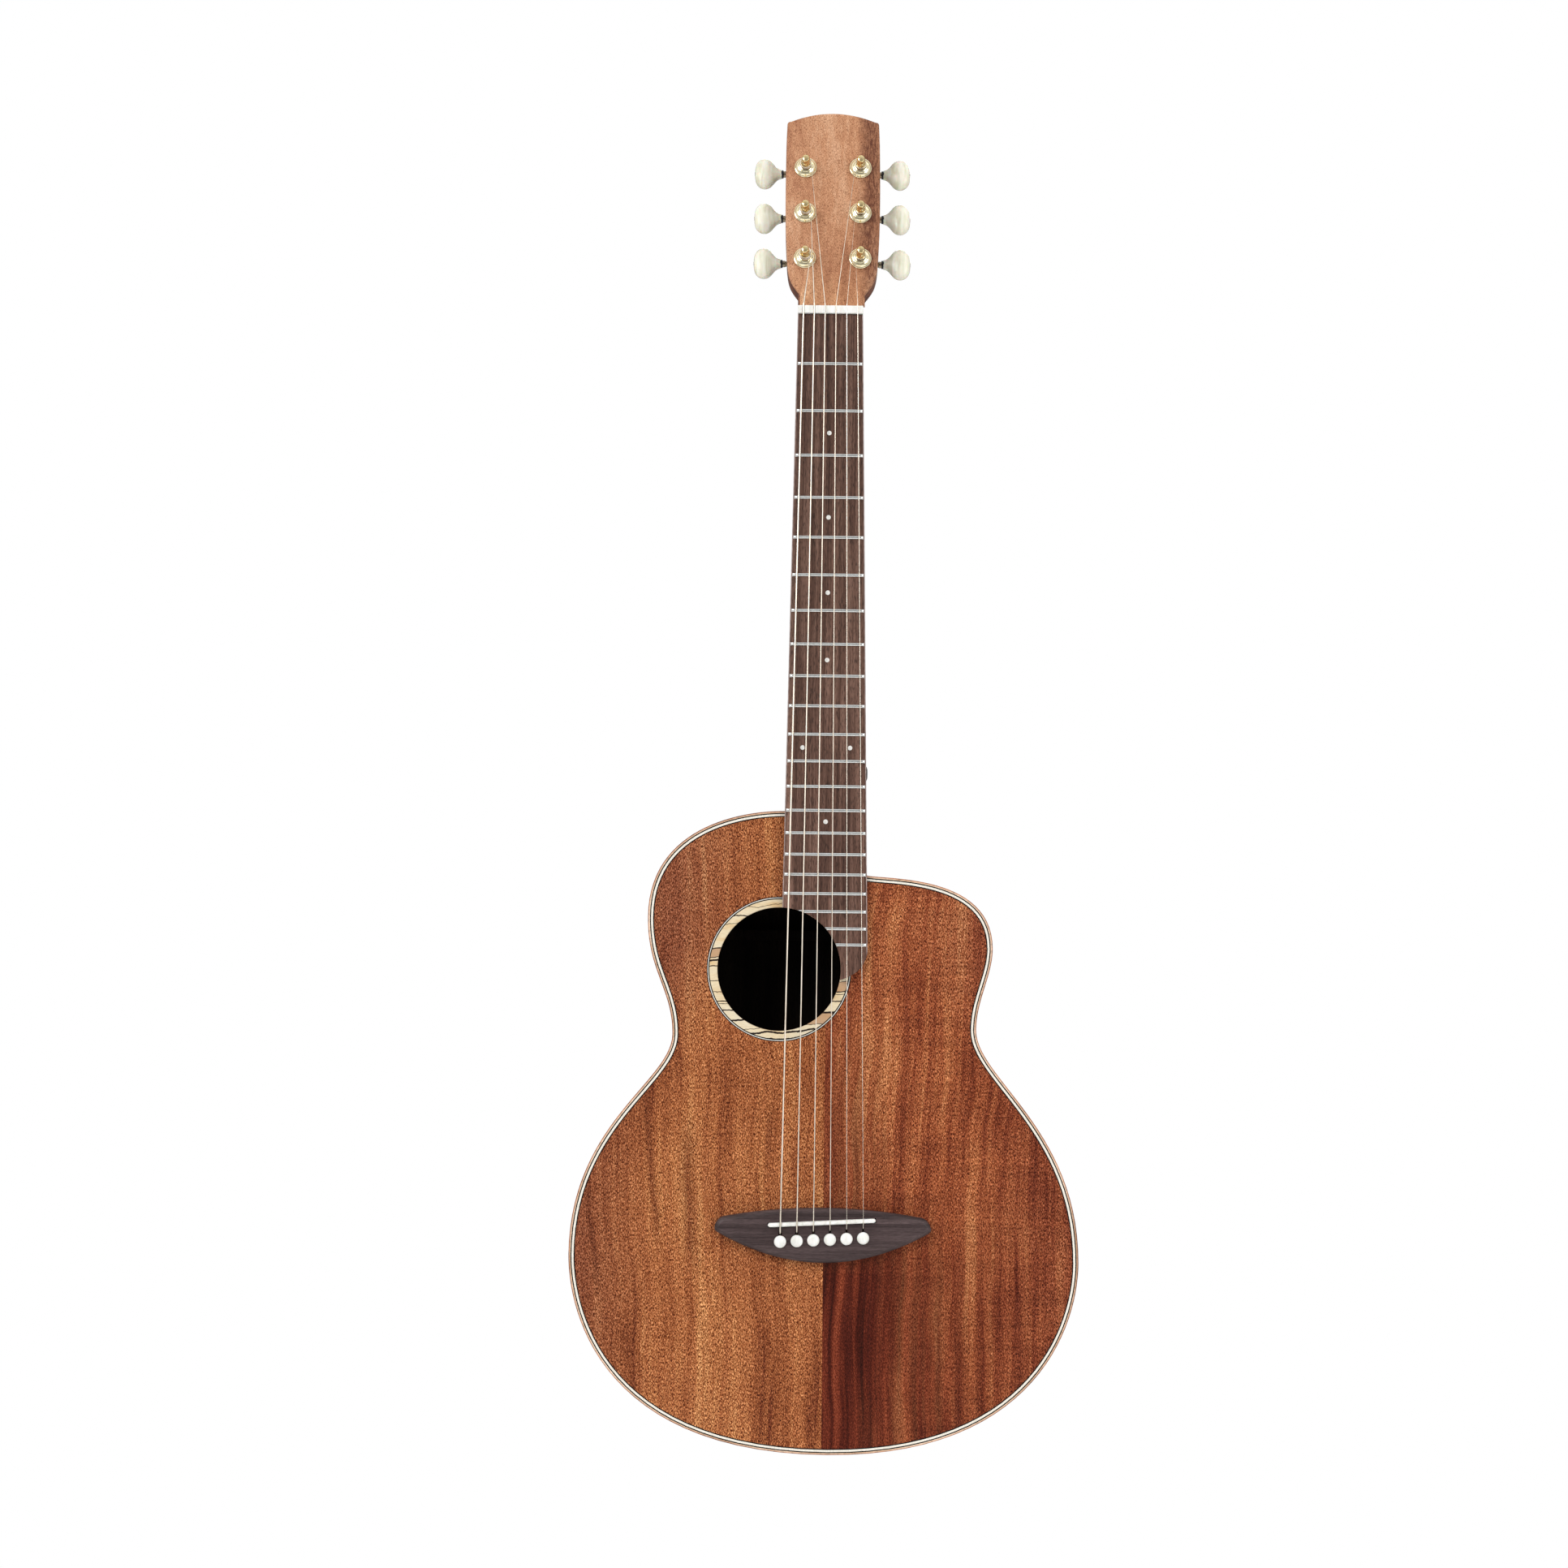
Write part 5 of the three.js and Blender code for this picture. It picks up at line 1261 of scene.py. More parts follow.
def add_tuners():
    sleeve_start, button_end = LUG_NEAR + LUG_THICKNESS + RUNNING, BUTTON_START + BUTTON_LENGTH
    collar_start, collar_end = BUTTON_START - COLLAR_LENGTH, BUTTON_START + SMALL_BEVEL
    shaft = shaft_piece([(SHAFT_RADIUS, -sleeve_start), (SHAFT_RADIUS, BUTTON_START + COLLAR_LENGTH)])
    run = collar_start - sleeve_start
    sleeve = shaft_piece([(r * SLEEVE_RADIUS, sleeve_start + share * run) for share, r in SLEEVE_SHARES])
    screw = shaft_piece([
        (BUTTON_SCREW_RADIUS, button_end - COLLAR_LENGTH),
        (BUTTON_SCREW_RADIUS, button_end - SMALL_BEVEL),
        (BUTTON_SCREW_RADIUS - SMALL_BEVEL, button_end + BUTTON_SCREW_PROUD),
    ])
    collar = shaft_piece([
        (COLLAR_RADIUS - SMALL_BEVEL, collar_start),
        (COLLAR_RADIUS, collar_start + SMALL_BEVEL),
        (COLLAR_RADIUS, collar_end),
    ])
    back = WHEEL_FRONT + WHEEL_THICKNESS
    front = [(r * POST_RADIUS, -h * POST_TIP_HEIGHT) for h, r in POST_SHARES]
    post = turned([(0, back), (POST_RADIUS, back), *front, (0, -POST_TIP_HEIGHT)])
    level = STRING_HOLE_DROP - POST_TIP_HEIGHT
    ends = [(side * (POST_RADIUS + OVERRUN), level, 0) for side in (-1, 1)]
    string_hole = tube(ends, STRING_HOLE_RADIUS, STRING_HOLE_SIDES)
    wheel_head = screw_head(POST_RADIUS, back - SMALL_BEVEL, WHEEL_SCREW_HEIGHT, 0, 0)
    wheel = joined(between(bevelled_back(wheel_outline(), WHEEL_FRONT, back)), wheel_head)
    parts = (
        ("machine", tuner_base(), "pale_gold", "gilt", "guitar", "tuner_base"),
        ("button", button(), "pearl", "pearl", "key", "tuner_key"),
        ("shaft", joined(shaft, sleeve, worm(), screw), "smoked_metal", "gilt", "key", None),
        ("collar", collar, "black_metal", "dark_metal", "key", None),
        ("post_metal", post, "gold", "gilt", "post", "tuner_post"),
        ("wheel", wheel, "gold", "gilt", "post", None),
    )
    for name in GAUGES:
        x, z = tuner_place(name)
        place = HEADSTOCK @ Matrix.Translation((x, 0, z)) @ Matrix.Diagonal((SIDES[name], 1, 1, 1))
        for part, shape, finish, slot, body, node_name in parts:
            piece = mesh_object(f"{part}_{name}", moved(shape, place))
            if part == "post_metal":
                cut(piece, moved(string_hole, place))
            rides = body if body == "guitar" else f"{body}_{name}"
            finish_piece(piece, finish, rides, [f"{node_name}_{name}"] if node_name else ())


# The strings


def string_path(name, i):
    gauge, side = GAUGES[name], SIDES[name]
    radius = gauge / 2
    x, z = pin_place(i)
    rise = PIN_SLOT_REACH - SLOT_PLAY / 2 - radius
    saddle_x = string_x(STRING_SPREAD_AT_PINS, i)
    nut_x = string_x(STRING_SPREAD_AT_NUT, i)
    over_saddle = SADDLE_PLACE + saddle_x * math.tan(BRIDGE_TURN)
    corners = [
        Vector((x, STRING_ANCHOR_DEPTH, z + rise)),
        Vector((x, BRIDGE_FACE - radius, z + rise)),
        Vector((saddle_x, -STRING_HEIGHT_AT_SADDLE - radius, over_saddle)),
        Vector((nut_x, -STRING_HEIGHT_AT_NUT - radius, 0)),
        Vector((nut_x, -STRING_HEIGHT_AT_NUT - radius, NUT_THICKNESS)),
    ]
    local = HEADSTOCK.inverted() @ corners[-1]
    place = tuner_place(name)
    coil = POST_RADIUS + STRING_CLEARANCE + radius
    distance = math.hypot(local.x - place[0], local.z - place[1])
    heading = math.atan2(local.z - place[1], local.x - place[0])
    start = heading - side * math.acos(coil / distance)
    turns = []
    for k in range(WINDING_TURNS * WINDING_STEPS + 1):
        angle = start + side * 2 * math.pi * k / WINDING_STEPS
        climb = WINDING_HEIGHT + radius + (gauge + WINDING_GAP) * k / WINDING_STEPS
        x, z = place[0] + coil * math.cos(angle), place[1] + coil * math.sin(angle)
        turns.append(on_headstock(x, -climb, z))
    corners.append(turns[0])
    path = [corners[0]]
    for before, corner, after in zip(corners, corners[1:], corners[2:]):
        back = min(STRING_BEND, (before - corner).length / 3)
        ahead = min(STRING_BEND, (after - corner).length / 3)
        a = corner + (before - corner).normalized() * back
        b = corner + (after - corner).normalized() * ahead
        path += arch(a, corner, b, BEND_STEPS)
    return path + turns


def add_strings():
    for i, name in enumerate(GAUGES):
        shape = tube(string_path(name, i), GAUGES[name] / 2 * WIRE_SHARE, STRING_SIDES)
        metal = "wound" if name in WOUND_STRINGS else "plain_wire"
        make(f"wire_{name}", shape, metal, replaced=[f"string_{name}"])


# Materials


def srgb(red, green, blue):
    """A colour as a screen shows it, from 0 to 255, as the shaders take it."""

    def light(value):
        share = value / 255
        return share / 12.92 if share <= 0.04045 else ((share + 0.055) / 1.055) ** 2.4

    return (light(red), light(green), light(blue), 1)


def tones(*stops):
    """The stops of a ramp from (place, red, green, blue) rows."""
    return [(place, srgb(*colour)) for place, *colour in stops]


def grey(share):
    return (share, share, share, 1)


def node(tree, kind, inputs=None, **settings):
    made = tree.nodes.new(kind)
    for key, value in settings.items():
        setattr(made, key, value)
    for key, value in (inputs or {}).items():
        if isinstance(value, bpy.types.NodeSocket):
            tree.links.new(value, made.inputs[key])
        else:
            made.inputs[key].default_value = value
    return made


def start_material(name, roughness, metallic=0, specular=0.5, coat=0, glow=0, glow_depth=1):
    material = bpy.data.materials.new(name)
    material.use_nodes = True
    shader = material.node_tree.nodes["Principled BSDF"]
    for key, value in (
        ("Roughness", roughness), ("Metallic", metallic), ("Specular IOR Level", specular),
        ("Coat Weight", coat), ("Coat Roughness", 0.12),
    ):
        shader.inputs[key].default_value = value
    if glow:
        shader.inputs["Subsurface Weight"].default_value = glow
        shader.inputs["Subsurface Scale"].default_value = glow_depth * MM
    return material, material.node_tree, shader


def axes(tree):
    """The x, y and z of a place on the piece, in metres."""
    place = node(tree, "ShaderNodeTexCoord").outputs["Object"]
    return node(tree, "ShaderNodeSeparateXYZ", {"Vector": place}).outputs


def place_in(tree, scale, space="Object", shift=(0, 0, 0)):
    """A place on the piece, in metres times a scale."""
    source = node(tree, "ShaderNodeTexCoord").outputs[space]
    inputs = {"Vector": source, "Scale": scale, "Location": shift}
    return node(tree, "ShaderNodeMapping", inputs).outputs["Vector"]


def noise(tree, vector, detail, roughness, distortion=0):
    inputs = {
        "Vector": vector, "Scale": 1, "Detail": detail, "Roughness": roughness, "Distortion": distortion,
    }
    return node(tree, "ShaderNodeTexNoise", inputs).outputs["Fac"]


def ramp(tree, factor, stops):
    made = node(tree, "ShaderNodeValToRGB", {"Fac": factor})
    elements = made.color_ramp.elements
    while len(elements) < len(stops):
        elements.new(0.5)
    for element, (position, colour) in zip(elements, stops):
        element.position = position
        element.color = colour
    return made.outputs["Color"]


def remap(tree, value, low, high, to_low=0, to_high=1):
    inputs = {"Value": value, "From Min": low, "From Max": high, "To Min": to_low, "To Max": to_high}
    return node(tree, "ShaderNodeMapRange", inputs).outputs["Result"]


def span(tree, value, ends, to_low=0, to_high=1):
    """Runs from to_low to to_high between two places given in millimetres."""
    return remap(tree, value, ends[0] * MM, ends[1] * MM, to_low, to_high)


def wander(tree, pattern, reach):
    """A shift of up to so many millimetres either way, that follows a pattern."""
    return remap(tree, pattern, *NOISE_RANGE, -reach * MM, reach * MM)


def mix(tree, factor, a, b, blend="MIX"):
    made = node(tree, "ShaderNodeMix", data_type="RGBA", blend_type=blend)
    for index, value in ((0, factor), (6, a), (7, b)):
        if isinstance(value, bpy.types.NodeSocket):
            tree.links.new(value, made.inputs[index])
        else:
            made.inputs[index].default_value = value
    return made.outputs[2]


def tint(tree, factor, colour, tone):
    return mix(tree, factor, colour, tone, "MULTIPLY")


def combine(tree, operation, *values):
    """Works through its values from left to right."""
    result = values[0]
    for value in values[1:]:
        result = node(tree, "ShaderNodeMath", {0: result, 1: value}, operation=operation).outputs["Value"]
    return result


def total(tree, *values):
    return combine(tree, "ADD", *values)


def times(tree, *values):
    return combine(tree, "MULTIPLY", *values)


def apart_from(tree, value, place):
    gap = combine(tree, "SUBTRACT", value, place)
    return node(tree, "ShaderNodeMath", {0: gap}, operation="ABSOLUTE").outputs["Value"]


def blended(tree, *parts):
    """The sum of patterns, each with its share."""
    return total(tree, *(times(tree, pattern, share) for pattern, share in parts))


def paint(tree, shader, colour, pattern, smooth, rough):
    """Gives the shader its colour, and a roughness that follows a pattern."""
    tree.links.new(colour, shader.inputs["Base Color"])
    tree.links.new(remap(tree, pattern, *NOISE_RANGE, smooth, rough), shader.inputs["Roughness"])


def bump(tree, shader, height, depth, strength):
    made = node(tree, "ShaderNodeBump", {"Height": height, "Distance": depth * MM, "Strength": strength})
    tree.links.new(made.outputs["Normal"], shader.inputs["Normal"])


def grain_scale(grain, across_it, length):
    """The scale of a grain: so many changes in a metre across it and along it."""
    return (across_it, across_it, length) if grain == "Z" else (length, across_it, across_it)


def grain_tones(tree, stops, grain, streaks, fine, shift=0):
    """The broad colours of a wood, and a finer streak that its finish follows."""
    space = "UV" if grain == "UV" else "Object"
    offset = (shift, shift, shift)
    wide = noise(tree, place_in(tree, grain_scale(grain, *streaks), space, offset), 4, 0.55, 0.5)
    thin = noise(tree, place_in(tree, grain_scale(grain, *fine), space, offset), 3, 0.6)
    return ramp(tree, blended(tree, (wide, 0.7), (thin, 0.3)), stops), thin


def finish_wood(tree, shader, colour, thin, grain, pore, dark, light, roughness):
    """Adds the pores, short dark and light dashes along the grain, and the sheen."""
    space = "UV" if grain == "UV" else "Object"
    spots = noise(tree, place_in(tree, grain_scale(grain, *pore), space), 2, 0.55)
    tone = ramp(tree, spots, [(0.36, dark), (0.45, (0.93, 0.92, 0.9, 1)), (0.54, grey(1)), (0.66, light)])
    paint(tree, shader, tint(tree, 1, colour, tone), thin, roughness - 0.05, roughness + 0.07)
    bump(tree, shader, remap(tree, spots, 0.36, 0.46), PORE_DEPTH, 0.35)


def wood(name, stops, grain="Z", streaks=(60, 4), fine=(500, 12), pore=(1100, 330), dark=0.45, roughness=0.36,
         specular=0.22, shift=0):
    material, tree, shader = start_material(name, roughness, specular=specular)
    colour, thin = grain_tones(tree, stops, grain, streaks, fine, shift)
    finish_wood(tree, shader, colour, thin, grain, pore, grey(dark), grey(1.15), roughness)
    return material


def top_wood():
    """Two matched halves whose colours meet hard at the seam below the bridge."""
    material, tree, shader = start_material("top_wood", 0.36, specular=0.12)
    parts = axes(tree)
    x, z = combine(tree, "SUBTRACT", parts["X"], SEAM_SHIFT * MM), parts["Z"]
    mirrored = apart_from(tree, x, 0)
    right = span(tree, x, (-SEAM_BLUR, SEAM_BLUR))
    # The grain leans outwards up the body, and wanders a little
    bend = wander(tree, noise(tree, place_in(tree, (5, 5, 8)), 2, 0.5), GRAIN_WANDER)
    away = total(tree, mirrored, bend, times(tree, z, -GRAIN_LEAN_SHARE))

    def streaks(across_it, length, detail):
        place = {"X": times(tree, away, across_it), "Y": times(tree, right, 7.3), "Z": times(tree, z, length)}
        return noise(tree, node(tree, "ShaderNodeCombineXYZ", place).outputs["Vector"], detail, 0.6, 0.12)

    thin = streaks(420, 14, 3)
    cloud = noise(tree, place_in(tree, (18, 18, 9)), 3, 0.55)
    both = blended(tree, (streaks(85, 3, 5), 0.45), (thin, 0.25), (cloud, 0.3))
    bass = ramp(tree, both, tones(
        (0.38, 103, 48, 26), (0.45, 135, 73, 40), (0.5, 151, 86, 49), (0.55, 162, 97, 56),
        (0.62, 177, 115, 69),
    ))
    treble = ramp(tree, both, tones(
        (0.38, 82, 32, 18), (0.45, 118, 55, 31), (0.5, 137, 70, 40), (0.55, 152, 84, 49),
        (0.62, 173, 107, 65),
    ))
    deep = ramp(tree, blended(tree, (streaks(190, 4, 4), 0.6), (both, 0.4)), tones(
        (0.4, 47, 14, 7), (0.46, 72, 24, 13), (0.5, 88, 33, 18), (0.55, 104, 42, 24), (0.64, 131, 60, 36),
    ))
    # The dark heart lies beside the seam of the treble half, most of all below the bridge
    reach = total(tree, mirrored, wander(tree, streaks(30, 3, 3), HEART_WANDER))
    below = times(tree, span(tree, z, HEART_HEIGHTS), span(tree, reach, HEART_REACHES))
    beside = times(tree, span(tree, z, SHADE_HEIGHTS, 0, 0.55), span(tree, reach, SHADE_REACHES))
    heart = combine(tree, "MAXIMUM", below, beside)
    treble = mix(tree, heart, treble, deep)
    # A faint ripple across the grain in the treble half
    ripple = noise(tree, place_in(tree, (9, 9, 130)), 3, 0.5, 0.3)
    ripple_tone = ramp(tree, ripple, [(0.36, (0.88, 0.86, 0.85, 1)), (0.64, (1.12, 1.12, 1.1, 1))])
    treble = tint(tree, span(tree, mirrored, RIPPLE_REACHES, 0.15, 0.8), treble, ripple_tone)
    colour = mix(tree, right, bass, treble)
    # Redder and darker wood near the edges of the body
    upper = span(tree, z, FLANK_HEIGHTS, 0, FLANK_SHIFT * MM)
    flank = span(tree, total(tree, mirrored, bend, upper), FLANK_REACHES)
    flank = times(tree, flank, remap(tree, right, 0, 1, 0.95, 0.5))
    colour = tint(tree, flank, colour, (0.66, 0.6, 0.76, 1))
    # A few dark streaks in the bass half
    for foot, head, low, high, width in DARK_STREAKS:
        apart = apart_from(tree, away, span(tree, z, (low, high), foot * MM, head * MM))
        dark = times(
            tree,
            span(tree, apart, (width, 0), 0, 0.8),
            span(tree, z, (low, low + STREAK_FADE)),
            span(tree, z, (high, high - STREAK_FADE)),
            combine(tree, "SUBTRACT", 1, right),
        )
        colour = tint(tree, dark, colour, (0.48, 0.38, 0.38, 1))
    # Short dark and light dashes, dense all over, and a wider mottle; both are fainter in the dark heart
    strength = remap(tree, times(tree, heart, right), 0, 1, 1, 0.6)
    dashes = noise(tree, place_in(tree, (2300, 2300, 720)), 1, 0.6, 0.5)
    colour = tint(tree, strength, colour, ramp(tree, dashes, [
        (0.35, (0.12, 0.05, 0.03, 1)),
        (0.45, (0.56, 0.45, 0.36, 1)),
        (0.54, (1.22, 1.26, 1.3, 1)),
        (0.63, (2.15, 2.8, 3.4, 1)),
    ]))
    mottle = noise(tree, place_in(tree, (1300, 1300, 420)), 2, 0.6, 0.6)
    shade = ramp(tree, mottle, [(0.36, (0.72, 0.64, 0.56, 1)), (0.5, grey(1)), (0.64, (1.22, 1.32, 1.4, 1))])
    paint(tree, shader, tint(tree, strength, colour, shade), thin, 0.32, 0.44)
    bump(tree, shader, remap(tree, dashes, 0.36, 0.48), PORE_DEPTH, 0.35)
    return material


def headplate_wood():
    """Pale brown wood with a dark streak down its treble side."""
    material, tree, shader = start_material("headplate_wood", 0.36, specular=0.22)
    stops = tones((0.34, 142, 91, 64), (0.44, 168, 115, 83), (0.54, 185, 133, 98), (0.66, 203, 156, 122))
    colour, thin = grain_tones(tree, stops, "Z", (55, 5), (480, 14))
    parts = axes(tree)
    shift = wander(tree, noise(tree, place_in(tree, (20, 20, 14)), 3, 0.55), HEAD_STREAK_WANDER)
    side = total(tree, parts["X"], shift)
    inner = span(tree, side, HEAD_STREAK_INNER)
    outer = span(tree, side, HEAD_STREAK_OUTER, 0.45, 1)
    threads = remap(tree, noise(tree, place_in(tree, (900, 900, 22)), 2, 0.5), 0.4, 0.56, 1, 0.55)
    colour = tint(tree, times(tree, inner, outer, threads), colour, (0.33, 0.25, 0.26, 1))
    colour = tint(tree, span(tree, parts["Z"], HEAD_PALE_HEIGHTS), colour, (1.18, 1.24, 1.2, 1))
    dark, light = (0.42, 0.33, 0.28, 1), (1.25, 1.32, 1.4, 1)
    finish_wood(tree, shader, colour, thin, "Z", (2700, 740), dark, light, 0.36)
    return material


def fretboard_wood(stops):
    """Dark wood, paler towards the end over the sound hole."""
    material, tree, shader = start_material("fretboard_wood", 0.45, specular=0.22)
    colour, thin = grain_tones(tree, stops, "Z", (320, 7), (1400, 26))
    end = span(tree, axes(tree)["Z"], (BOARD_PALE_START, FRETBOARD_END))
    colour = tint(tree, end, colour, (1.32, 1.36, 1.42, 1))
    finish_wood(tree, shader, colour, thin, "Z", (1700, 260), grey(0.45), grey(1.15), 0.45)
    return material


def block_wood_with_painted_shade(stops, inside):
    """Dark inside the body as painted shade, and pale on the end that shows beside the heel."""
    material, tree, shader = start_material("block_wood_with_painted_shade", 0.4, specular=0.2)
    pale, thin = grain_tones(tree, stops, "X", (60, 4), (500, 12))
    dark, _ = grain_tones(tree, inside, "Z", (160, 5), (900, 20))
    end = span(tree, axes(tree)["Z"], (JOINT - 2 * BLOCK_END, JOINT - BLOCK_END))
    finish_wood(tree, shader, mix(tree, end, dark, pale), thin, "X", (1100, 330), grey(0.5), grey(1.1), 0.4)
    return material


def spalted_maple():
    """Cream maple with thin dark lines that run across it, and brown wood between some of them."""
    material, tree, shader = start_material("spalted_maple", 0.34, specular=0.3)
    parts = axes(tree)
    drift = wander(tree, noise(tree, place_in(tree, (60, 60, 30)), 2, 0.5), SPALT_WANDER)
    ragged = wander(tree, noise(tree, place_in(tree, (420, 420, 300)), 2, 0.6), SPALT_RAGGEDNESS)
    up = total(tree, parts["Z"], times(tree, parts["X"], -SPALT_SLOPE_SHARE), drift, ragged)
    up = combine(tree, "SUBTRACT", up, (HOLE_PLACE + SPALT_SLOPE_SHARE * SOUNDHOLE_SHIFT) * MM)
    line = 0
    for height, width in SPALT_LINES:
        apart = apart_from(tree, up, height * MM)
        line = combine(tree, "MAXIMUM", span(tree, apart, (width * 0.65, width * 0.5)), line)
    brown = 0
    for low, high, side in SPALT_PATCHES:
        apart = apart_from(tree, up, (low + high) / 2 * MM)
        near = combine(tree, "GREATER_THAN", times(tree, parts["X"], side), -side * SOUNDHOLE_SHIFT * MM)
        inside = times(tree, combine(tree, "LESS_THAN", apart, (high - low) / 2 * MM), near)
        brown = combine(tree, "MAXIMUM", inside, brown)
    clouds = noise(tree, place_in(tree, (26, 26, 90)), 3, 0.5)
    cream = ramp(tree, clouds, tones((0.36, 222, 210, 184), (0.52, 222, 204, 170), (0.62, 214, 184, 138)))
    grain = noise(tree, place_in(tree, (300, 300, 1300)), 2, 0.5)
    cream = tint(tree, 0.6, cream, ramp(tree, grain, [(0.35, (0.84, 0.8, 0.74, 1)), (0.6, grey(1))]))
    colour = mix(tree, times(tree, brown, 0.7), cream, srgb(168, 118, 78))
    paint(tree, shader, mix(tree, line, colour, srgb(34, 20, 14)), clouds, 0.3, 0.4)
    return material


def patterned(name, stops, scale, detail, fineness, sheen, distortion=0, **settings):
    """A material of one soft pattern, whose roughness runs between the two of its sheen."""
    material, tree, shader = start_material(name, **settings)
    pattern = noise(tree, place_in(tree, scale), detail, fineness, distortion)
    paint(tree, shader, ramp(tree, pattern, stops), pattern, *sheen)
    return material, tree, shader, pattern


def bone():
    stops = tones((0.36, 220, 219, 212), (0.62, 240, 240, 236))
    material, tree, shader, clouds = patterned(
        "bone", stops, (240, 240, 90), 4, 0.6, (0.24, 0.38), roughness=0.3, specular=0.4, glow=0.08,
    )
    bump(tree, shader, clouds, BONE_DEPTH, 0.3)
    return material


def pearloid():
    """Cream pearl with soft bands down it."""
    material, tree, shader = start_material("pearloid", 0.26, specular=0.3, coat=0.15, glow=0.3, glow_depth=2)
    bands = noise(tree, place_in(tree, (330, 160, 46)), 2, 0.45, 0.6)
    sheen = noise(tree, place_in(tree, (120, 120, 120)), 2, 0.5)
    stops = tones((0.38, 214, 210, 186), (0.47, 226, 223, 202), (0.54, 233, 230, 212), (0.62, 239, 237, 222))
    paint(tree, shader, ramp(tree, blended(tree, (bands, 0.7), (sheen, 0.3)), stops), bands, 0.16, 0.26)
    return material


def shell():
    stops = tones((0.3, 196, 198, 196), (0.55, 228, 226, 220), (0.75, 240, 232, 226))
    sheen = (0.15, 0.26)
    return patterned("shell", stops, (700, 700, 260), 3, 0.5, sheen, 1, roughness=0.2, specular=0.6)[0]


def metal(name, light, dark, roughness):
    stops = [(0.3, dark), (0.7, light)]
    sheen = (roughness * 0.8, roughness * 1.3)
    return patterned(name, stops, (900, 900, 900), 4, 0.6, sheen, roughness=roughness, metallic=1)[0]


def plain_line(name, light, dark):
    """Thin dyed wood or plastic, such as the lines of the purfling."""
    stops = [(0.3, dark), (0.7, light)]
    return patterned(name, stops, (900, 900, 300), 3, 0.5, (0.34, 0.48), roughness=0.4, specular=0.15)[0]


def wound_metal():
    """Wire wound round a core: fine ridges along the string."""
    stops = tones((0.3, 206, 196, 180), (0.7, 234, 224, 208))
    material, tree, shader, _ = patterned(
        "wound_metal", stops, (500, 500, 60), 3, 0.5, (0.26, 0.4), roughness=0.3, metallic=1,
    )
    inputs = {"Vector": place_in(tree, (0, 0, 1)), "Scale": 700, "Distortion": 0}
    ridges = node(tree, "ShaderNodeTexWave", inputs, wave_type="BANDS", bands_direction="Z").outputs["Fac"]
    bump(tree, shader, ridges, WINDING_DEPTH, 0.4)
    return material


def make_materials():
    koa = tones((0.36, 98, 46, 26), (0.44, 136, 74, 46), (0.52, 160, 95, 60), (0.64, 190, 128, 84))
    rosewood = tones((0.36, 58, 37, 29), (0.5, 88, 62, 51), (0.64, 117, 88, 75))
    dark_rosewood = tones((0.34, 46, 35, 35), (0.5, 66, 53, 53), (0.66, 88, 73, 73))
    tan = tones((0.36, 186, 146, 116), (0.5, 212, 178, 150), (0.64, 232, 206, 184))
    mahogany = tones((0.36, 74, 38, 26), (0.5, 106, 60, 40), (0.64, 134, 82, 56))
    # Near-black wood for the inside of the body: painted shade, darker than the bare wood there
    inside = tones((0.36, 12, 8, 6), (0.5, 20, 14, 11), (0.64, 30, 22, 17))
    return {
        "top": top_wood(),
        "side": wood("side_wood", koa, grain="UV", shift=4),
        "back": wood("back_wood", koa, streaks=(48, 2.6), shift=9),
        "headplate": headplate_wood(),
        "binding": wood("binding_wood", tan, grain="UV", streaks=(400, 12), fine=(1500, 60), dark=0.8),
        # Darker koa for the binding's side, which also paints shade along its rounded edge
        "binding_koa_and_edge_shade": wood("binding_koa_and_edge_shade_wood", koa, grain="UV", streaks=(400, 12), fine=(1500, 60)),
        "fretboard": fretboard_wood(rosewood),
        # A painted highlight for the rounded edges of the fretboard
        "painted_edge_highlight": plain_line("painted_edge_highlight", srgb(176, 158, 152), srgb(128, 110, 106)),
        "bridge": wood(
            "bridge_wood", dark_rosewood, grain="X", streaks=(260, 7), fine=(1800, 40), pore=(2400, 300),
            roughness=0.42, dark=0.7,
        ),
        "mahogany": wood("mahogany_wood", mahogany, streaks=(120, 4), fine=(900, 14), roughness=0.38),
        # Painted shade for the surfaces inside the body
        "inside": wood("inside_painted_shade_wood", inside, streaks=(160, 5), fine=(900, 20), roughness=0.7, specular=0.05),
        "block": block_wood_with_painted_shade(koa, inside),
        "spalted": spalted_maple(),
        "bone": bone(),
        "pearl": pearloid(),
        "shell": shell(),
        "black_line": plain_line("black_line", srgb(16, 13, 12), srgb(6, 5, 5)),
        "pale_line": plain_line("pale_line", srgb(228, 226, 220), srgb(204, 200, 192)),
        "white_line": plain_line("white_line", srgb(236, 233, 224), srgb(218, 211, 196)),
        "black_metal": metal("black_metal", srgb(72, 72, 74), srgb(40, 40, 42), 0.3),
        "pale_gold": metal("pale_gold_metal", srgb(248, 240, 210), srgb(232, 216, 170), 0.1),
        "gold": metal("gold_metal", srgb(238, 220, 172), srgb(214, 188, 128), 0.13),
        "smoked_metal": metal("smoked_metal", srgb(176, 164, 142), srgb(104, 94, 78), 0.2),
        "fret_metal": metal("fret_metal", srgb(236, 238, 236), srgb(214, 216, 214), 0.2),
        "plain_wire": metal("plain_wire", srgb(244, 236, 222), srgb(224, 214, 196), 0.24),
        "steel": metal("steel_metal", srgb(190, 190, 190), srgb(150, 150, 150), 0.35),
        "wound": wound_metal(),
    }


# The studio


def area_light(name, place, width, height, power):
    data = bpy.data.lights.new(name, "AREA")
    data.shape = "RECTANGLE"
    data.size = width
    data.size_y = height
    data.energy = power
    light = bpy.data.objects.new(name, data)
    light.location = place
    light.rotation_euler = (Vector(LIGHT_AIM) * MM - place).to_track_quat("-Z", "Y").to_euler()
    bpy.context.scene.collection.objects.link(light)


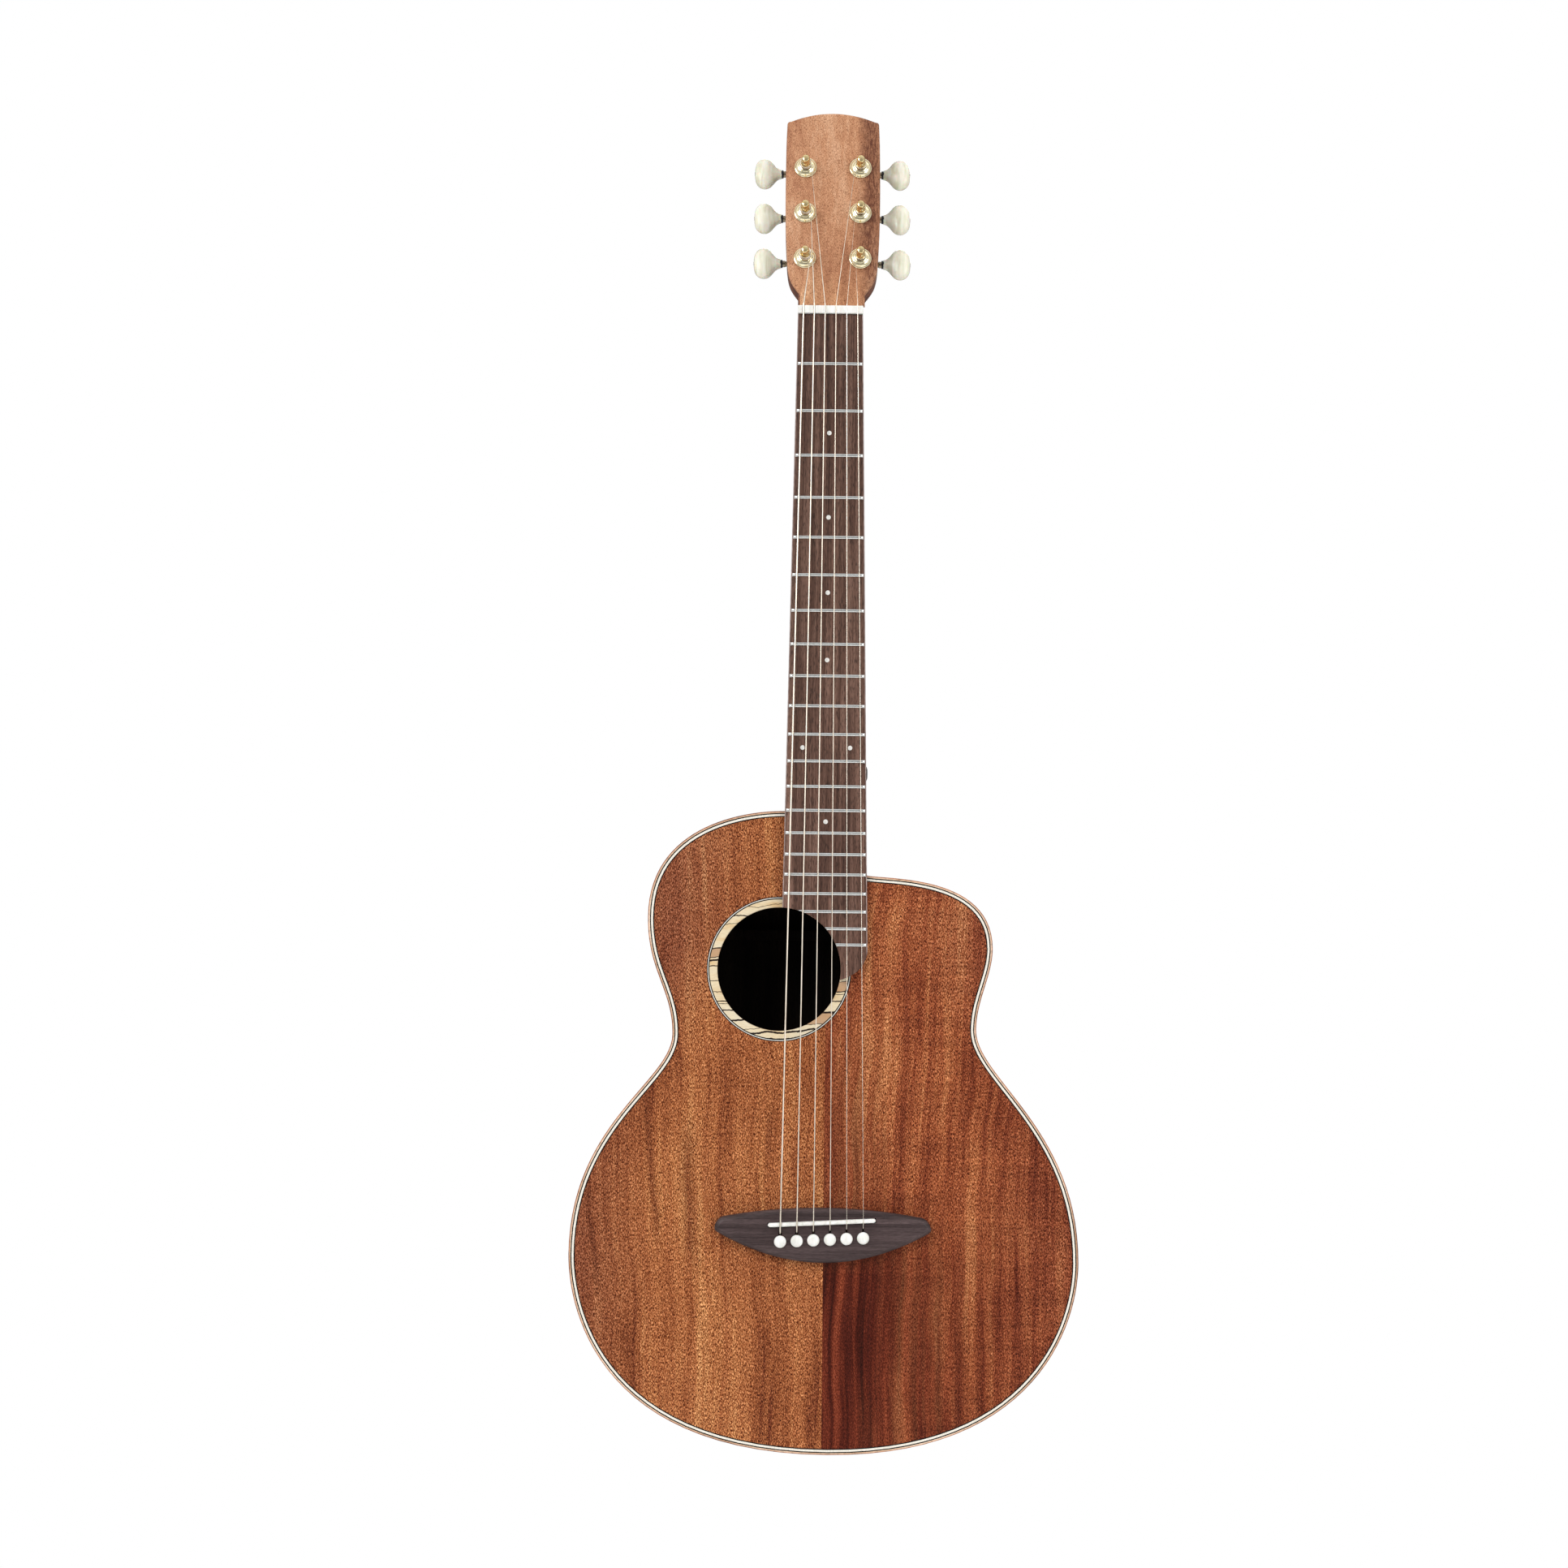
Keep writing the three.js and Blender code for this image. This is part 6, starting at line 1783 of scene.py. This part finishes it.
def add_studio():
    scene = bpy.context.scene
    scene.view_settings.view_transform = "Standard"
    world = bpy.data.worlds.new("studio")
    world.use_nodes = True
    scene.world = world
    tree = world.node_tree
    background = tree.nodes["Background"]
    heading = node(tree, "ShaderNodeTexCoord").outputs["Generated"]
    parts = node(tree, "ShaderNodeSeparateXYZ", {"Vector": heading}).outputs
    above = remap(tree, parts["Z"], -1, 1, 0.6, 1.1)
    ahead = remap(tree, parts["Y"], -1, -0.3, 0.35, 1)
    behind = remap(tree, parts["Y"], 0, 0.75, 1, 0.3)
    seen = node(tree, "ShaderNodeLightPath").outputs["Is Camera Ray"]
    white = mix(tree, seen, times(tree, above, ahead, behind), grey(1))
    tree.links.new(white, background.inputs["Color"])
    background.inputs["Strength"].default_value = 1
    for name, place, width, height, power in LIGHTS:
        area_light(name, Vector(place) * MM, width * MM, height * MM, power)

    disc = between(steps_of(circle(0, 0, FLOOR_RADIUS, FLOOR_SIDES), 0, FLOOR_THICKNESS))
    floor = mesh_object("floor", moved(disc, stand((0, 0, FLOOR_LEVEL), -math.pi / 2, "X")))
    material, tree, shader = start_material("floor_paint", 0.6, specular=0.2)
    clouds = noise(tree, place_in(tree, (3, 3, 3)), 3, 0.5)
    stops = tones((0.3, 244, 244, 243), (0.7, 250, 250, 249))
    tree.links.new(ramp(tree, clouds, stops), shader.inputs["Base Color"])
    floor.data.materials.append(material)


def add_camera():
    """A camera 2 m away that looks up a little and leans by half a degree, as in the photograph."""
    data = bpy.data.cameras.new("photo_camera")
    data.sensor_width = CAMERA_SENSOR
    data.lens = CAMERA_LENS
    data.clip_end = CAMERA_SIGHT * MM
    camera = bpy.data.objects.new("photo_camera", data)
    bpy.context.scene.collection.objects.link(camera)
    tilt, lean = math.radians(CAMERA_TILT), math.radians(CAMERA_LEAN)
    ahead = Vector((0, math.cos(tilt), math.sin(tilt)))
    up = Vector((0, -math.sin(tilt), math.cos(tilt)))
    across = Vector((1, 0, 0))
    right = across * math.cos(lean) + up * math.sin(lean)
    top = up * math.cos(lean) - across * math.sin(lean)
    turn = Matrix((right, top, -ahead)).transposed()
    camera.matrix_world = Matrix.Translation(Vector(CAMERA_PLACE) * MM) @ turn.to_4x4()
    bpy.context.scene.camera = camera


def keep_hidden_parts():
    """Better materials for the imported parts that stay."""
    kept = {
        # The linings, braces and blocks inside the body: near-black, as painted shade
        "inside": [
            "top_lining", "back_lining", "tail_block", "x_brace_bass", "x_brace_treble", "upper_brace",
            "back_brace_upper", "back_brace_middle", "back_brace_lower", "bridge_plate",
        ],
        "block": ["neck_block"],
        "steel": ["truss_rod", "truss_nut"],
    }
    for kind, names in kept.items():
        for name in names:
            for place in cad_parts[name].material_slots:
                place.material = finishes[kind]


finishes = make_materials()
add_soundboard()
add_rosette()
add_rim()
add_back()
add_bridge()
add_saddle()
add_pins()
add_neck()
add_headplate()
add_heel_fittings()
add_fretboard()
add_nut()
add_tuners()
add_strings()
keep_hidden_parts()
add_studio()
add_camera()
